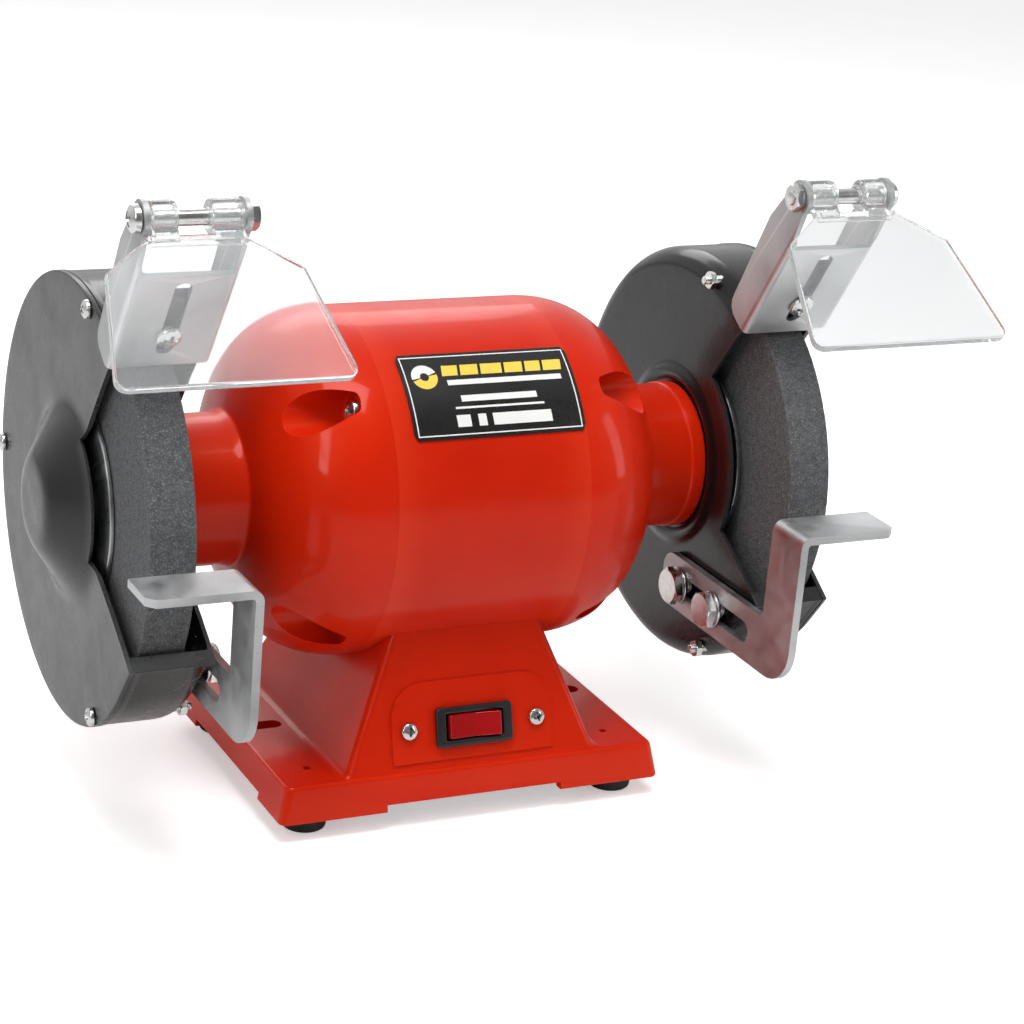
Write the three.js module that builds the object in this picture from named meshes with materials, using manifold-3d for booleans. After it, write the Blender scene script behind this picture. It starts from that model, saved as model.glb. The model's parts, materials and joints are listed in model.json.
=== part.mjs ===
// Bench grinder with two 150 mm wheels: motor on a cast pedestal, a guard, tool rest and eye shield at each end.
// Millimetres, +Z up. X runs along the shaft, the operator stands on the -Y side, the feet rest on z = 0.
import * as THREE from 'three';
import { mergeVertices } from 'three/addons/utils/BufferGeometryUtils.js';
import Module from 'manifold-3d';

const wasm = await Module();
wasm.setup();

// ---------------------------------------------------------------- driving dimensions
const GAP = 0.3; // clearance between neighbouring pieces
const SHAFT_Z = 113; // height of the shaft's centre line above the bench
const SHAFT_Y = 23.47; // puts the middle of the whole machine's depth on y = 0

const BARREL_R = 65;
const BARREL_HALF = 38;
const WALL = 3.5;
const BELL_A = 42.5; // length of the bell's elliptical shoulder
const BELL_B = 45; // its height, from radius 20 up to the barrel
const BELL_CORE_R = 20;
const COLLAR_R = 28;
const COLLAR_END = 107.2;
const BOLT_RING_R = 57;
const POCKET_R = 8;
const POCKET_FLOOR = 47;

const BEARING_IN = 84.2;
const BEARING_OUT = 95.2;
const BEARING_R = 17.5;
const SHAFT_R = 7.5;
const ARBOR_R = 6;
const ARBOR_START = 111.5;
const ARBOR_END = 147.5;
const STATOR_HALF = 27;
const ROTOR_R = 35.3;

const WHEEL_R = 75;
const WHEEL_IN = 116.6;
const WHEEL_OUT = 133.6;
const FLANGE_R = 39.5;

const GUARD_R = 81.5;
const GUARD_IN = 107.5; // inner face of the guard's plate
const SHEET = 1.5;
const RIM_STEPS = 26;
const GUARD_PLATE = 2;
const COVER_IN = 137.3;
const COVER_OUT = 139;
const MOUTH_TOP = 55.5; // guard opening, degrees above and below the shaft's height
const MOUTH_CHIN = -40;
const CHIN = [-74.6, -36.4];
const HUB_RING_R = 34;
const DOME_TOP_R = 15;
const DOME_TOP = 151.5;
const COVER_SCREW_RING = 77.9;
const COVER_SCREW_ANGLES = [76, 183, -61];

const REST_IN = 103.9;
const REST_T = 3;
const REST_FRONT = -105.5;
const REST_BACK = -85;
const REST_TOP = 2.7;
const REST_TIP = 144.4;
const ARM_BOTTOM = -57.5;
const ARM_TOP = -36;
const ARM_END = -10;
const ARM_SLOT_Z = -46.8;
const ARM_SLOT = [-72, -18];
const REST_BOLTS = [-49.2, -23.2];

const BRACKET_IN = 105;
const BRACKET_OUT = 141.6;
const BRACKET_T = 2;
const WEB_FOOT = [-47.1, 62.7];
const WEB_UP = [-0.541, 0.841]; // direction of the bracket's web in (y, z)
const WEB_LEN = 44.5;
const WEB_SLOT = [9, 38];
const WEB_SCREW = 15.2;
const ROD = [-74.5, 121.4];
const ROD_R = 2.8;

const SHIELD_DROP = 37.1; // degrees below level
const SHIELD_T = 3;
const SHIELD_X = 124.8;
const SHIELD_TOP = 8.6;
const SHIELD_SHOULDER = 22;
const SHIELD_EDGE = 66.5;
const SHIELD_HALF = [16.3, 33.4, 40.7];
const KNUCKLES = [[107.6, 118.4], [129.9, 138.7]];

const BASE_Y = -10; // middle of the base's depth, measured from the shaft
const FLANGE_TOP = -92.7;
const BASE_BOTTOM = -106.3;
const FOOT_BOTTOM = -113;
const PED_TOP = -38;
const FACE_LEAN = THREE.MathUtils.degToRad(17);
const PANEL_Z = -78.4;
const FEET_X = 63;
const FEET_Y = 44;

// ---------------------------------------------------------------- shape helpers
const rad = THREE.MathUtils.degToRad;
// (y, z) outline pushed along +X
const ALONG_X = new THREE.Matrix4().set(0, 0, 1, 0, 1, 0, 0, 0, 0, 1, 0, 0, 0, 0, 0, 1);
// (x, z) outline pushed along -Y
const TOWARD_FRONT = new THREE.Matrix4().set(1, 0, 0, 0, 0, 0, -1, 0, 0, 1, 0, 0, 0, 0, 0, 1);

function flipFaces(index) {
  for (let i = 0; i < index.length; i += 3) {
    const keep = index[i + 1];
    index[i + 1] = index[i + 2];
    index[i + 2] = keep;
  }
}

function signedVolume(pos, index) {
  const a = new THREE.Vector3();
  const b = new THREE.Vector3();
  const c = new THREE.Vector3();
  let sum = 0;
  for (let i = 0; i < index.length; i += 3) {
    a.fromArray(pos, index[i] * 3);
    b.fromArray(pos, index[i + 1] * 3);
    c.fromArray(pos, index[i + 2] * 3);
    sum += a.dot(b.cross(c));
  }
  return sum;
}

// closed three.js geometry -> manifold solid, faces turned outward
function solid(geometry) {
  const bare = geometry.clone();
  bare.deleteAttribute('normal');
  bare.deleteAttribute('uv');
  const welded = mergeVertices(bare, 1e-4);
  const raw = Array.from(welded.index.array);
  const index = [];
  for (let i = 0; i < raw.length; i += 3) {
    const [a, b, c] = raw.slice(i, i + 3);
    if (a !== b && b !== c && c !== a) {
      index.push(a, b, c);
    }
  }
  const pos = welded.attributes.position.array;
  if (signedVolume(pos, index) < 0) {
    flipFaces(index);
  }
  return new wasm.Manifold(new wasm.Mesh({
    numProp: 3,
    vertProperties: Float32Array.from(pos),
    triVerts: Uint32Array.from(index),
  }));
}

function join(first, ...rest) {
  return rest.reduce((sum, piece) => sum.add(piece), first);
}

function cut(body, ...tools) {
  return tools.reduce((left, tool) => left.subtract(tool), body);
}

function toGeometry(body) {
  const mesh = body.getMesh();
  const pos = new Float32Array(mesh.numVert * 3);
  for (let i = 0; i < mesh.numVert; i += 1) {
    for (let k = 0; k < 3; k += 1) {
      pos[i * 3 + k] = mesh.vertProperties[i * mesh.numProp + k];
    }
  }
  const geometry = new THREE.BufferGeometry();
  geometry.setAttribute('position', new THREE.BufferAttribute(pos, 3));
  geometry.setIndex(Array.from(mesh.triVerts));
  return geometry;
}

function mirrorX(geometry) {
  const copy = geometry.clone();
  copy.applyMatrix4(new THREE.Matrix4().makeScale(-1, 1, 1));
  const index = Array.from(copy.index.array);
  flipFaces(index);
  copy.setIndex(index);
  return copy;
}

function box(x0, x1, y0, y1, z0, z1) {
  const g = new THREE.BoxGeometry(x1 - x0, y1 - y0, z1 - z0);
  g.translate((x0 + x1) / 2, (y0 + y1) / 2, (z0 + z1) / 2);
  return solid(g);
}

function outline(points) {
  return new THREE.Shape(points.map(([u, v]) => new THREE.Vector2(u, v)));
}

// plate whose outline is given in (y, z), from x0 to x1
function plateX(points, x0, x1) {
  const g = new THREE.ExtrudeGeometry(outline(points), { depth: x1 - x0, bevelEnabled: false });
  g.translate(0, 0, x0);
  g.applyMatrix4(ALONG_X);
  return solid(g);
}

// plate whose outline is given in (x, z), from y0 (back) to y1 (front)
function plateY(points, y0, y1) {
  const g = new THREE.ExtrudeGeometry(outline(points), { depth: y0 - y1, bevelEnabled: false });
  g.translate(0, 0, -y0);
  g.applyMatrix4(TOWARD_FRONT);
  return solid(g);
}

function plateZ(points, z0, z1) {
  const g = new THREE.ExtrudeGeometry(outline(points), { depth: z1 - z0, bevelEnabled: false });
  g.translate(0, 0, z0);
  return solid(g);
}

// turned body about the X axis from a closed (x, radius) profile
function turned(profile, segments) {
  const ring = profile.map(([x, r]) => new THREE.Vector2(r, x));
  const onAxis = profile[0][1] === 0 && profile[profile.length - 1][1] === 0;
  if (!onAxis) {
    ring.push(ring[0].clone());
  }
  const g = new THREE.LatheGeometry(ring, segments);
  g.rotateZ(-Math.PI / 2);
  return solid(g);
}

function rodX(x0, x1, y, z, r, segments = 16) {
  const g = new THREE.CylinderGeometry(r, r, x1 - x0, segments);
  g.rotateZ(Math.PI / 2);
  g.translate((x0 + x1) / 2, y, z);
  return solid(g);
}

function hexX(x0, x1, y, z, acrossFlats) {
  return rodX(x0, x1, y, z, acrossFlats / Math.sqrt(3), 6);
}

function arc(cy, cz, r, from, to, steps) {
  const points = [];
  for (let i = 0; i <= steps; i += 1) {
    const t = rad(from + ((to - from) * i) / steps);
    points.push([cy + r * Math.cos(t), cz + r * Math.sin(t)]);
  }
  return points;
}

// long hole with round ends between two (u, v) points
function slotPath(a, b, r, steps = 6) {
  const along = THREE.MathUtils.radToDeg(Math.atan2(b[1] - a[1], b[0] - a[0]));
  return [
    ...arc(a[0], a[1], r, along + 90, along + 270, steps),
    ...arc(b[0], b[1], r, along - 90, along + 90, steps),
  ];
}

function turnX(body, angle) {
  const g = toGeometry(body);
  g.rotateX(angle);
  return solid(g);
}

function moved(body, x, y, z) {
  const g = toGeometry(body);
  g.translate(x, y, z);
  return solid(g);
}

// ---------------------------------------------------------------- materials
const PAINT = { color: 0xcf1f08, roughness: 0.3, metalness: 0 };
const BLACK = { color: 0x1a1a1b, roughness: 0.35, metalness: 0 };
const ZINC = { color: 0xb9bcbd, roughness: 0.35, metalness: 1 };
const STEEL = { color: 0x8f9294, roughness: 0.3, metalness: 1 };
const GRIT = { color: 0x5b5c5e, roughness: 0.95, metalness: 0 };
const RUBBER = { color: 0x141414, roughness: 0.85, metalness: 0 };
const PLASTIC = { color: 0x101010, roughness: 0.4, metalness: 0 };
const CLEAR = { color: 0xe8eef0, roughness: 0.05, metalness: 0 };
const LAMP_RED = { color: 0xd01818, roughness: 0.15, metalness: 0 };
const COPPER = { color: 0xb06a3a, roughness: 0.4, metalness: 1 };

const grinder = new THREE.Group();
grinder.name = 'bench_grinder';
grinder.position.set(0, SHAFT_Y, SHAFT_Z);

function place(name, body, finish, geometry = toGeometry(body)) {
  const mesh = new THREE.Mesh(geometry, new THREE.MeshStandardMaterial(finish));
  mesh.name = name;
  grinder.add(mesh);
  return mesh;
}

// the same piece at both ends, the left one a mirror image
function placePair(name, body, finish) {
  const right = toGeometry(body);
  place(`${name}_right`, null, finish, right);
  place(`${name}_left`, null, finish, mirrorX(right));
}

// ---------------------------------------------------------------- motor
function shoulder(inset, from, to, steps) {
  const points = [];
  for (let i = 0; i <= steps; i += 1) {
    const t = rad(from + ((to - from) * i) / steps);
    points.push([
      BARREL_HALF + (BELL_A - inset) * Math.sin(t),
      BELL_CORE_R + (BELL_B - inset) * Math.cos(t),
    ]);
  }
  return points;
}

function motorBarrel() {
  return turned([
    [-BARREL_HALF, BARREL_R - WALL],
    [BARREL_HALF, BARREL_R - WALL],
    [BARREL_HALF, BARREL_R],
    [-BARREL_HALF, BARREL_R],
  ], 32);
}

function boltPlaces() {
  return [45, 135, 225, 315].map((a) => [BOLT_RING_R * Math.cos(rad(a)), BOLT_RING_R * Math.sin(rad(a))]);
}

// right-hand end bell with bearing seat, collar and four bolt pockets
function endBell() {
  const start = BARREL_HALF + GAP;
  const skin = shoulder(0, 0, 79.5, 7);
  skin[0][0] = start;
  const lining = shoulder(WALL, 79.5, 0, 4);
  lining[4][0] = start;
  const shell = turned([
    ...skin,
    [BARREL_HALF + BELL_A + 0.6, COLLAR_R],
    [COLLAR_END, COLLAR_R],
    [COLLAR_END, 11],
    [BEARING_OUT + GAP, 11],
    [BEARING_OUT + GAP, BEARING_R + GAP],
    [BEARING_IN - 6, BEARING_R + GAP],
    ...lining,
  ], 32);
  const envelope = turned([[start, 0], ...skin, [BARREL_HALF + BELL_A, 0]], 32);
  const bosses = boltPlaces().map(([y, z]) => rodX(start, 76, y, z, POCKET_R + 3, 10).intersect(envelope));
  const pockets = boltPlaces().map(([y, z]) => rodX(POCKET_FLOOR, 92, y, z, POCKET_R, 12));
  const holes = boltPlaces().map(([y, z]) => rodX(30, 60, y, z, 2.6, 8));
  return cut(join(shell, ...bosses), ...pockets, ...holes);
}

function throughBolt(y, z) {
  return join(
    rodX(-POCKET_FLOOR - 1, POCKET_FLOOR + 5, y, z, 2, 10),
    rodX(-POCKET_FLOOR - 3.2, -POCKET_FLOOR - GAP, y, z, 4.3, 12),
    hexX(POCKET_FLOOR + GAP, POCKET_FLOOR + 3.5, y, z, 7),
  );
}

function statorCore() {
  const core = turned([
    [-STATOR_HALF, ROTOR_R + 0.7],
    [STATOR_HALF, ROTOR_R + 0.7],
    [STATOR_HALF, BARREL_R - WALL - GAP],
    [-STATOR_HALF, BARREL_R - WALL - GAP],
  ], 32);
  const notches = boltPlaces().map(([y, z]) => rodX(-30, 30, y * 1.03, z * 1.03, 5, 10));
  return cut(core, ...notches);
}

function windingRing() {
  return turned([
    [STATOR_HALF + GAP, 40],
    [STATOR_HALF + 9, 38.5],
    [STATOR_HALF + 12, 43],
    [STATOR_HALF + 9, 51],
    [STATOR_HALF + GAP, 51],
  ], 24);
}

function bearing() {
  return turned([
    [BEARING_IN, SHAFT_R + GAP],
    [BEARING_OUT, SHAFT_R + GAP],
    [BEARING_OUT, BEARING_R],
    [BEARING_IN, BEARING_R],
  ], 24);
}

function motorShaft() {
  return turned([
    [-ARBOR_END, 0],
    [-ARBOR_END, ARBOR_R],
    [-ARBOR_START, ARBOR_R],
    [-ARBOR_START, SHAFT_R],
    [-BEARING_IN + 2, SHAFT_R],
    [-BEARING_IN + 4, 10],
    [BEARING_IN - 4, 10],
    [BEARING_IN - 2, SHAFT_R],
    [ARBOR_START, SHAFT_R],
    [ARBOR_START, ARBOR_R],
    [ARBOR_END, ARBOR_R],
    [ARBOR_END, 0],
  ], 20);
}

function rotorCore() {
  return turned([
    [-STATOR_HALF, 10 + GAP],
    [STATOR_HALF, 10 + GAP],
    [STATOR_HALF, ROTOR_R],
    [-STATOR_HALF, ROTOR_R],
  ], 28);
}

function namePlate() {
  const inner = arc(0, 0, BARREL_R + 0.25, 119.6, 149.7, 8);
  const outer = arc(0, 0, BARREL_R + 0.95, 149.7, 119.6, 8);
  return plateX([...inner, ...outer], -30.3, 37.5);
}

// ---------------------------------------------------------------- base
// four-sided block between two rectangles given as [x half, y front, y back, z]
function taperedBlock(low, high) {
  const corner = ([hx, y0, y1, z]) => [[-hx, y0, z], [hx, y0, z], [hx, y1, z], [-hx, y1, z]];
  const points = [...corner(low), ...corner(high)];
  const g = new THREE.BufferGeometry();
  g.setAttribute('position', new THREE.Float32BufferAttribute(points.flat(), 3));
  g.setIndex([
    0, 2, 1, 0, 3, 2, 4, 5, 6, 4, 6, 7,
    0, 1, 5, 0, 5, 4, 1, 2, 6, 1, 6, 5,
    2, 3, 7, 2, 7, 6, 3, 0, 4, 3, 4, 7,
  ]);
  return solid(g);
}

// section of the pedestal at height z, pulled in by inset
function pedestalRing(z, inset) {
  const rise = z - FLANGE_TOP;
  return [50.9 - 0.42 * rise - inset, BASE_Y - 53 + 0.305 * rise + inset, BASE_Y + 53 - 0.305 * rise - inset, z];
}

function housingClearance() {
  const skin = shoulder(-GAP, 0, 80, 7);
  const mirror = skin.map(([x, r]) => [-x, r]).reverse();
  return turned([[-BARREL_HALF - BELL_A - 1, 0], ...mirror, ...skin, [BARREL_HALF + BELL_A + 1, 0]], 40);
}

// turn a piece made against an upright face onto the leaning front face
function ontoFace(body, lift = 0) {
  const faceY = BASE_Y - 53 + 0.305 * (PANEL_Z - FLANGE_TOP);
  return moved(turnX(body, -FACE_LEAN), 0, faceY - lift, PANEL_Z);
}

function archOutline(half, low, shoulderHeight, top) {
  return [
    [-half, low],
    [half, low],
    [half, 0],
    ...arc(half - 14, shoulderHeight, 14, 0, 90, 4).map(([u, v]) => [u, Math.min(v, top)]),
    ...arc(-half + 14, shoulderHeight, 14, 90, 180, 4).map(([u, v]) => [u, Math.min(v, top)]),
    [-half, 0],
  ];
}

function baseCasting() {
  const flange = taperedBlock(
    [77.4, BASE_Y - 57.3, BASE_Y + 57.3, BASE_BOTTOM],
    [74.6, BASE_Y - 54.5, BASE_Y + 54.5, FLANGE_TOP],
  );
  const pedestal = taperedBlock(pedestalRing(FLANGE_TOP - 4, 0), pedestalRing(PED_TOP, 0));
  const panel = ontoFace(plateY(archOutline(32.5, -12, 4.5, 17.5), 3, -0.8));
  const cavity = taperedBlock(pedestalRing(-120, 4), pedestalRing(-71, 4));
  const notchX = box(-90, 90, BASE_Y - 33.5, BASE_Y + 33.5, BASE_BOTTOM - 5, BASE_BOTTOM + 3);
  const notchY = box(-35.5, 35.5, -120, 100, BASE_BOTTOM - 5, BASE_BOTTOM + 3);
  const switchHole = ontoFace(box(-13.9, 13.9, -10, 14, -6.3, 6.3));
  const screwHoles = [-25.9, 25.9].map((x) => ontoFace(plateY(arcXZ(x, 0, 2), 9, -3)));
  const benchSlots = [-1, 1].map((s) => plateZ(
    slotPath([s * 63 - 4, BASE_Y], [s * 63 + 4, BASE_Y], 3.3),
    BASE_BOTTOM - 2,
    FLANGE_TOP + 2,
  ));
  const glandHole = glandAxis(rodY(-14, 8, 5.3));
  const block = join(flange, pedestal, panel);
  return cut(block, housingClearance(), cavity, notchX, notchY, switchHole, ...screwHoles, ...benchSlots, glandHole);
}

function arcXZ(x, z, r) {
  return arc(x, z, r, 0, 330, 11);
}

function rodY(y0, y1, r, segments = 16) {
  const g = new THREE.CylinderGeometry(r, r, y1 - y0, segments);
  g.translate(0, (y0 + y1) / 2, 0);
  return solid(g);
}

function glandAxis(body) {
  const z = -83;
  const faceY = BASE_Y + 53 - 0.305 * (z - FLANGE_TOP);
  return moved(turnX(body, FACE_LEAN), -24, faceY, z);
}

function cordGland() {
  const body = join(rodY(-8, 1, 5, 16), rodY(GAP, 4, 8, 6), rodY(4, 11, 6.4, 16));
  return glandAxis(cut(body, rodY(-9, 12, 3.4, 12)));
}

function bottomCover() {
  const ring = pedestalRing(-100, 4 + GAP);
  const plate = box(-ring[0], ring[0], ring[1], ring[2], BASE_BOTTOM + 3.4, BASE_BOTTOM + 4.9);
  return plate;
}

function rubberFoot() {
  const g = new THREE.CylinderGeometry(9, 8, 6.4, 20);
  g.rotateX(Math.PI / 2);
  g.translate(0, 0, FOOT_BOTTOM + 3.2);
  return solid(g);
}

function switchBezel() {
  const frame = join(
    box(-15.4, 15.4, -3.2, -0.8 - GAP, -7.4, 7.4),
    box(-13.5, 13.5, -2, 13, -5.9, 5.9),
  );
  return ontoFace(cut(frame, box(-11.6, 11.6, -6, 4.5, -5, 5)));
}

// the rocker is a shallow V seen from above, one end pressed in
function switchRocker() {
  const plan = [[-10.6, -3.6], [0, -2.6], [10.6, -5.4], [10.6, -1], [5, 2.8], [-5, 2.8], [-10.6, -1]];
  return ontoFace(plateZ(plan, -4.6, 4.6));
}

function switchScrew(x) {
  const head = moved(rodY(-3.2, -0.8 - GAP, 3.3, 14), x, 0, 0);
  const shank = moved(rodY(-1.5, 6, 1.6, 10), x, 0, 0);
  return ontoFace(join(head, shank));
}

function capacitor() {
  return rodX(-16, 22, 10, -86, 11, 20);
}

// ---------------------------------------------------------------- guard, right-hand end
function mouthPoint(deg, r) {
  return [-r * Math.cos(rad(deg)), r * Math.sin(rad(deg))];
}

// rim of the guard from the top of its mouth over the back to the chin
function rim(r, steps) {
  const points = [];
  const from = MOUTH_TOP;
  const to = MOUTH_CHIN + 360;
  for (let i = 0; i <= steps; i += 1) {
    points.push(mouthPoint(from + ((to - from) * i) / steps, r));
  }
  return points;
}

function guardFace(ringR) {
  const ring = [];
  for (let i = 0; i <= 6; i += 1) {
    ring.push(mouthPoint(-22 + ((58 + 22) * i) / 6, ringR));
  }
  return [...rim(GUARD_R, RIM_STEPS), CHIN, ...ring];
}

function guardBand() {
  const inset = [CHIN[0] + 1.9, CHIN[1] - 0.4];
  const hem = [CHIN[0] + 5.2, CHIN[1] + 3.6];
  const hemInner = [hem[0] + 0.9, hem[1] - 1.5];
  return [...rim(GUARD_R, RIM_STEPS), CHIN, hem, hemInner, inset, ...rim(GUARD_R - SHEET, RIM_STEPS).reverse()];
}

// radial lug that carries the shield bracket
function bracketLug() {
  const back = BRACKET_T + GAP;
  const at = (s, depth) => [
    WEB_FOOT[0] + WEB_UP[0] * s + WEB_UP[1] * depth,
    WEB_FOOT[1] + WEB_UP[1] * s - WEB_UP[0] * depth,
  ];
  return [at(1, back), at(34, back), at(34, back + 2.4), at(-1, back + 2.4)];
}

function guard() {
  const plate = plateX(guardFace(HUB_RING_R + 12), GUARD_IN, GUARD_IN + GUARD_PLATE);
  const band = plateX(guardBand(), GUARD_IN, COVER_IN - GAP);
  const lug = plateX(bracketLug(), GUARD_IN + 2, COVER_IN - GAP);
  const centre = rodX(100, 115, 0, 0, 16, 24);
  const boltHoles = REST_BOLTS.map((y) => rodX(105, 112, y, ARM_SLOT_Z, 4.3, 12));
  const screwHoles = COVER_SCREW_ANGLES.map((a) => {
    const [y, z] = mouthPoint(a, COVER_SCREW_RING);
    return rodX(105, 112, y, z, 2.0, 8);
  });
  const lugHole = webDrill(2.7, -1, 12);
  return cut(join(plate, band, lug), centre, ...boltHoles, ...screwHoles, lugHole);
}

// round tool through the middle of the bracket's web, from depth d0 to d1 behind its front
function webDrill(r, d0, d1, segments = 12) {
  const g = new THREE.CylinderGeometry(r, r, d1 - d0, segments);
  g.translate(0, (d0 + d1) / 2, 0);
  g.rotateX(Math.atan2(-WEB_UP[0], WEB_UP[1]));
  const x = (BRACKET_IN + BRACKET_OUT) / 2;
  g.translate(x, WEB_FOOT[0] + WEB_UP[0] * WEB_SCREW, WEB_FOOT[1] + WEB_UP[1] * WEB_SCREW);
  return solid(g);
}

function guardCover() {
  const disc = plateX(guardFace(HUB_RING_R + 1), COVER_IN, COVER_OUT);
  const dome = turned([
    [COVER_IN, 0], [COVER_IN, HUB_RING_R + 0.5], [COVER_OUT, HUB_RING_R],
    [DOME_TOP - 0.8, DOME_TOP_R + 1.4], [DOME_TOP, DOME_TOP_R], [DOME_TOP, 0],
  ], 32);
  const hollow = turned([
    [COVER_IN - 1, 0], [COVER_IN - 1, HUB_RING_R - 2], [COVER_OUT - 1, HUB_RING_R - 2],
    [DOME_TOP - 1.8, DOME_TOP_R - 0.8], [DOME_TOP - 1.8, 0],
  ], 32);
  const holes = COVER_SCREW_ANGLES.map((a) => {
    const [y, z] = mouthPoint(a, COVER_SCREW_RING);
    return rodX(130, 145, y, z, 2.0, 8);
  });
  return cut(join(disc, dome), hollow, ...holes);
}

function coverScrew(angle) {
  const [y, z] = mouthPoint(angle, COVER_SCREW_RING);
  const ring = COVER_OUT + GAP;
  return join(
    turnedAt([[ring, 0], [ring, 3.5], [ring + 1.2, 3.3], [ring + 2.3, 2], [ring + 2.3, 0]], 14, y, z),
    rodX(102.5, ring + 0.5, y, z, 1.65, 8),
    hexX(GUARD_IN - GAP - 2.4, GUARD_IN - GAP, y, z, 6),
  );
}

function turnedAt(profile, segments, y, z) {
  return moved(turned(profile, segments), 0, y, z);
}

// ---------------------------------------------------------------- wheel on the shaft, right-hand end
function innerFlange() {
  return turned([
    [ARBOR_START + GAP, ARBOR_R + GAP],
    [WHEEL_IN - GAP, ARBOR_R + GAP],
    [WHEEL_IN - GAP, FLANGE_R],
    [WHEEL_IN - 2.2, FLANGE_R],
    [WHEEL_IN - 3.6, 14],
    [ARBOR_START + GAP, 14],
  ], 32);
}

function grindingWheel() {
  return turned([
    [WHEEL_IN, ARBOR_R + GAP],
    [WHEEL_OUT, ARBOR_R + GAP],
    [WHEEL_OUT, WHEEL_R - 1],
    [WHEEL_OUT - 1, WHEEL_R],
    [WHEEL_IN + 1, WHEEL_R],
    [WHEEL_IN, WHEEL_R - 1],
  ], 40);
}

function outerFlange() {
  return turned([
    [WHEEL_OUT + GAP, ARBOR_R + GAP],
    [WHEEL_OUT + 2.9, ARBOR_R + GAP],
    [WHEEL_OUT + 2.9, 30],
    [WHEEL_OUT + 1.8, FLANGE_R],
    [WHEEL_OUT + GAP, FLANGE_R],
  ], 32);
}

function wheelNut() {
  const start = WHEEL_OUT + 3.2;
  return cut(hexX(start, start + 8, 0, 0, 19), rodX(start - 1, start + 9, 0, 0, ARBOR_R + GAP, 16));
}

// ---------------------------------------------------------------- tool rest, right-hand end
function toolRest() {
  const profile = [
    [REST_BACK, REST_TOP],
    [REST_FRONT, REST_TOP],
    [REST_FRONT, ARM_BOTTOM + 13],
    [REST_FRONT + 3.4, ARM_BOTTOM + 5],
    [REST_FRONT + 9, ARM_BOTTOM + 0.8],
    [REST_FRONT + 14, ARM_BOTTOM],
    [ARM_END - 9, ARM_BOTTOM],
    [ARM_END - 3, ARM_BOTTOM + 2.6],
    [ARM_END, ARM_BOTTOM + 8],
    [ARM_END, ARM_TOP - 6],
    [ARM_END - 2.5, ARM_TOP - 1.6],
    [ARM_END - 7, ARM_TOP],
    [REST_BACK + 2, ARM_TOP],
    [REST_BACK, ARM_TOP + 2],
  ];
  const upright = plateX(profile, REST_IN, REST_IN + REST_T);
  const table = plateZ([
    [REST_IN, REST_FRONT],
    [REST_TIP - 3, REST_FRONT],
    [REST_TIP, REST_FRONT + 3],
    [REST_TIP, REST_BACK],
    [REST_IN, REST_BACK],
  ], REST_TOP - REST_T, REST_TOP);
  const slotHole = plateX(
    slotPath([ARM_SLOT[0], ARM_SLOT_Z], [ARM_SLOT[1], ARM_SLOT_Z], 4.3),
    REST_IN - 2,
    REST_IN + REST_T + 2,
  );
  const corner = plateY([
    [REST_IN - 1, REST_TOP + 1],
    [REST_IN - 1, REST_TOP - 4],
    [REST_IN + 1.2, REST_TOP - 1.2],
    [REST_IN + 4, REST_TOP + 1],
  ], REST_BACK + 5, REST_FRONT - 5);
  return cut(join(upright, table), slotHole, corner);
}

function restBolt(y) {
  return join(
    hexX(REST_IN - GAP - 5.2, REST_IN - GAP, y, ARM_SLOT_Z, 13),
    rodX(REST_IN - 1, 115.4, y, ARM_SLOT_Z, 3.9, 14),
    hexX(GUARD_IN + GUARD_PLATE + GAP, GUARD_IN + GUARD_PLATE + 4.8, y, ARM_SLOT_Z, 12),
  );
}

// ---------------------------------------------------------------- shield bracket and shield, right-hand end
function shieldBracket() {
  const at = (s, depth) => [
    WEB_FOOT[0] + WEB_UP[0] * s + WEB_UP[1] * depth,
    WEB_FOOT[1] + WEB_UP[1] * s - WEB_UP[0] * depth,
  ];
  const web = plateX([at(0, 0), at(WEB_LEN, 0), at(WEB_LEN, BRACKET_T), at(0, BRACKET_T)], BRACKET_IN, BRACKET_OUT);
  const cheekOutline = [
    at(0, 0), at(WEB_LEN + 3, 0.4),
    ...arc(ROD[0], ROD[1], 6.5, 235, 20, 8),
    [-56.8, 110.5], at(4, 14.5), at(1, 13),
  ];
  const cheeks = [
    plateX(cheekOutline, BRACKET_IN, BRACKET_IN + BRACKET_T),
    plateX(cheekOutline, BRACKET_OUT - BRACKET_T, BRACKET_OUT),
  ];
  const slotHole = webSlot();
  const rodHole = rodX(BRACKET_IN - 2, BRACKET_OUT + 2, ROD[0], ROD[1], ROD_R + GAP, 16);
  return cut(join(web, ...cheeks), slotHole, rodHole);
}

function webSlot() {
  const x = (BRACKET_IN + BRACKET_OUT) / 2;
  const path = slotPath([x, WEB_SLOT[0]], [x, WEB_SLOT[1]], 3);
  const tool = plateY(path, 6, -4);
  return moved(turnX(tool, Math.atan2(-WEB_UP[0], WEB_UP[1])), 0, WEB_FOOT[0], WEB_FOOT[1]);
}

function bracketScrew() {
  return join(
    webDrill(4.6, -GAP - 2.6, -GAP, 16),
    webDrill(2.3, -GAP - 0.5, 9.5, 10),
    webDrill(4.6, BRACKET_T + 3 + GAP, BRACKET_T + 6.5, 6),
  );
}

function pivotRod() {
  return join(
    rodX(101.2, BRACKET_OUT + 2, ROD[0], ROD[1], ROD_R, 16),
    turnedAt([
      [BRACKET_OUT + GAP, 0], [BRACKET_OUT + GAP, 5], [BRACKET_OUT + 2.4, 4.6],
      [BRACKET_OUT + 4, 2.8], [BRACKET_OUT + 4, 0],
    ], 16, ROD[0], ROD[1]),
    hexX(BRACKET_IN - GAP - 3, BRACKET_IN - GAP, ROD[0], ROD[1], 9),
  );
}

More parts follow.
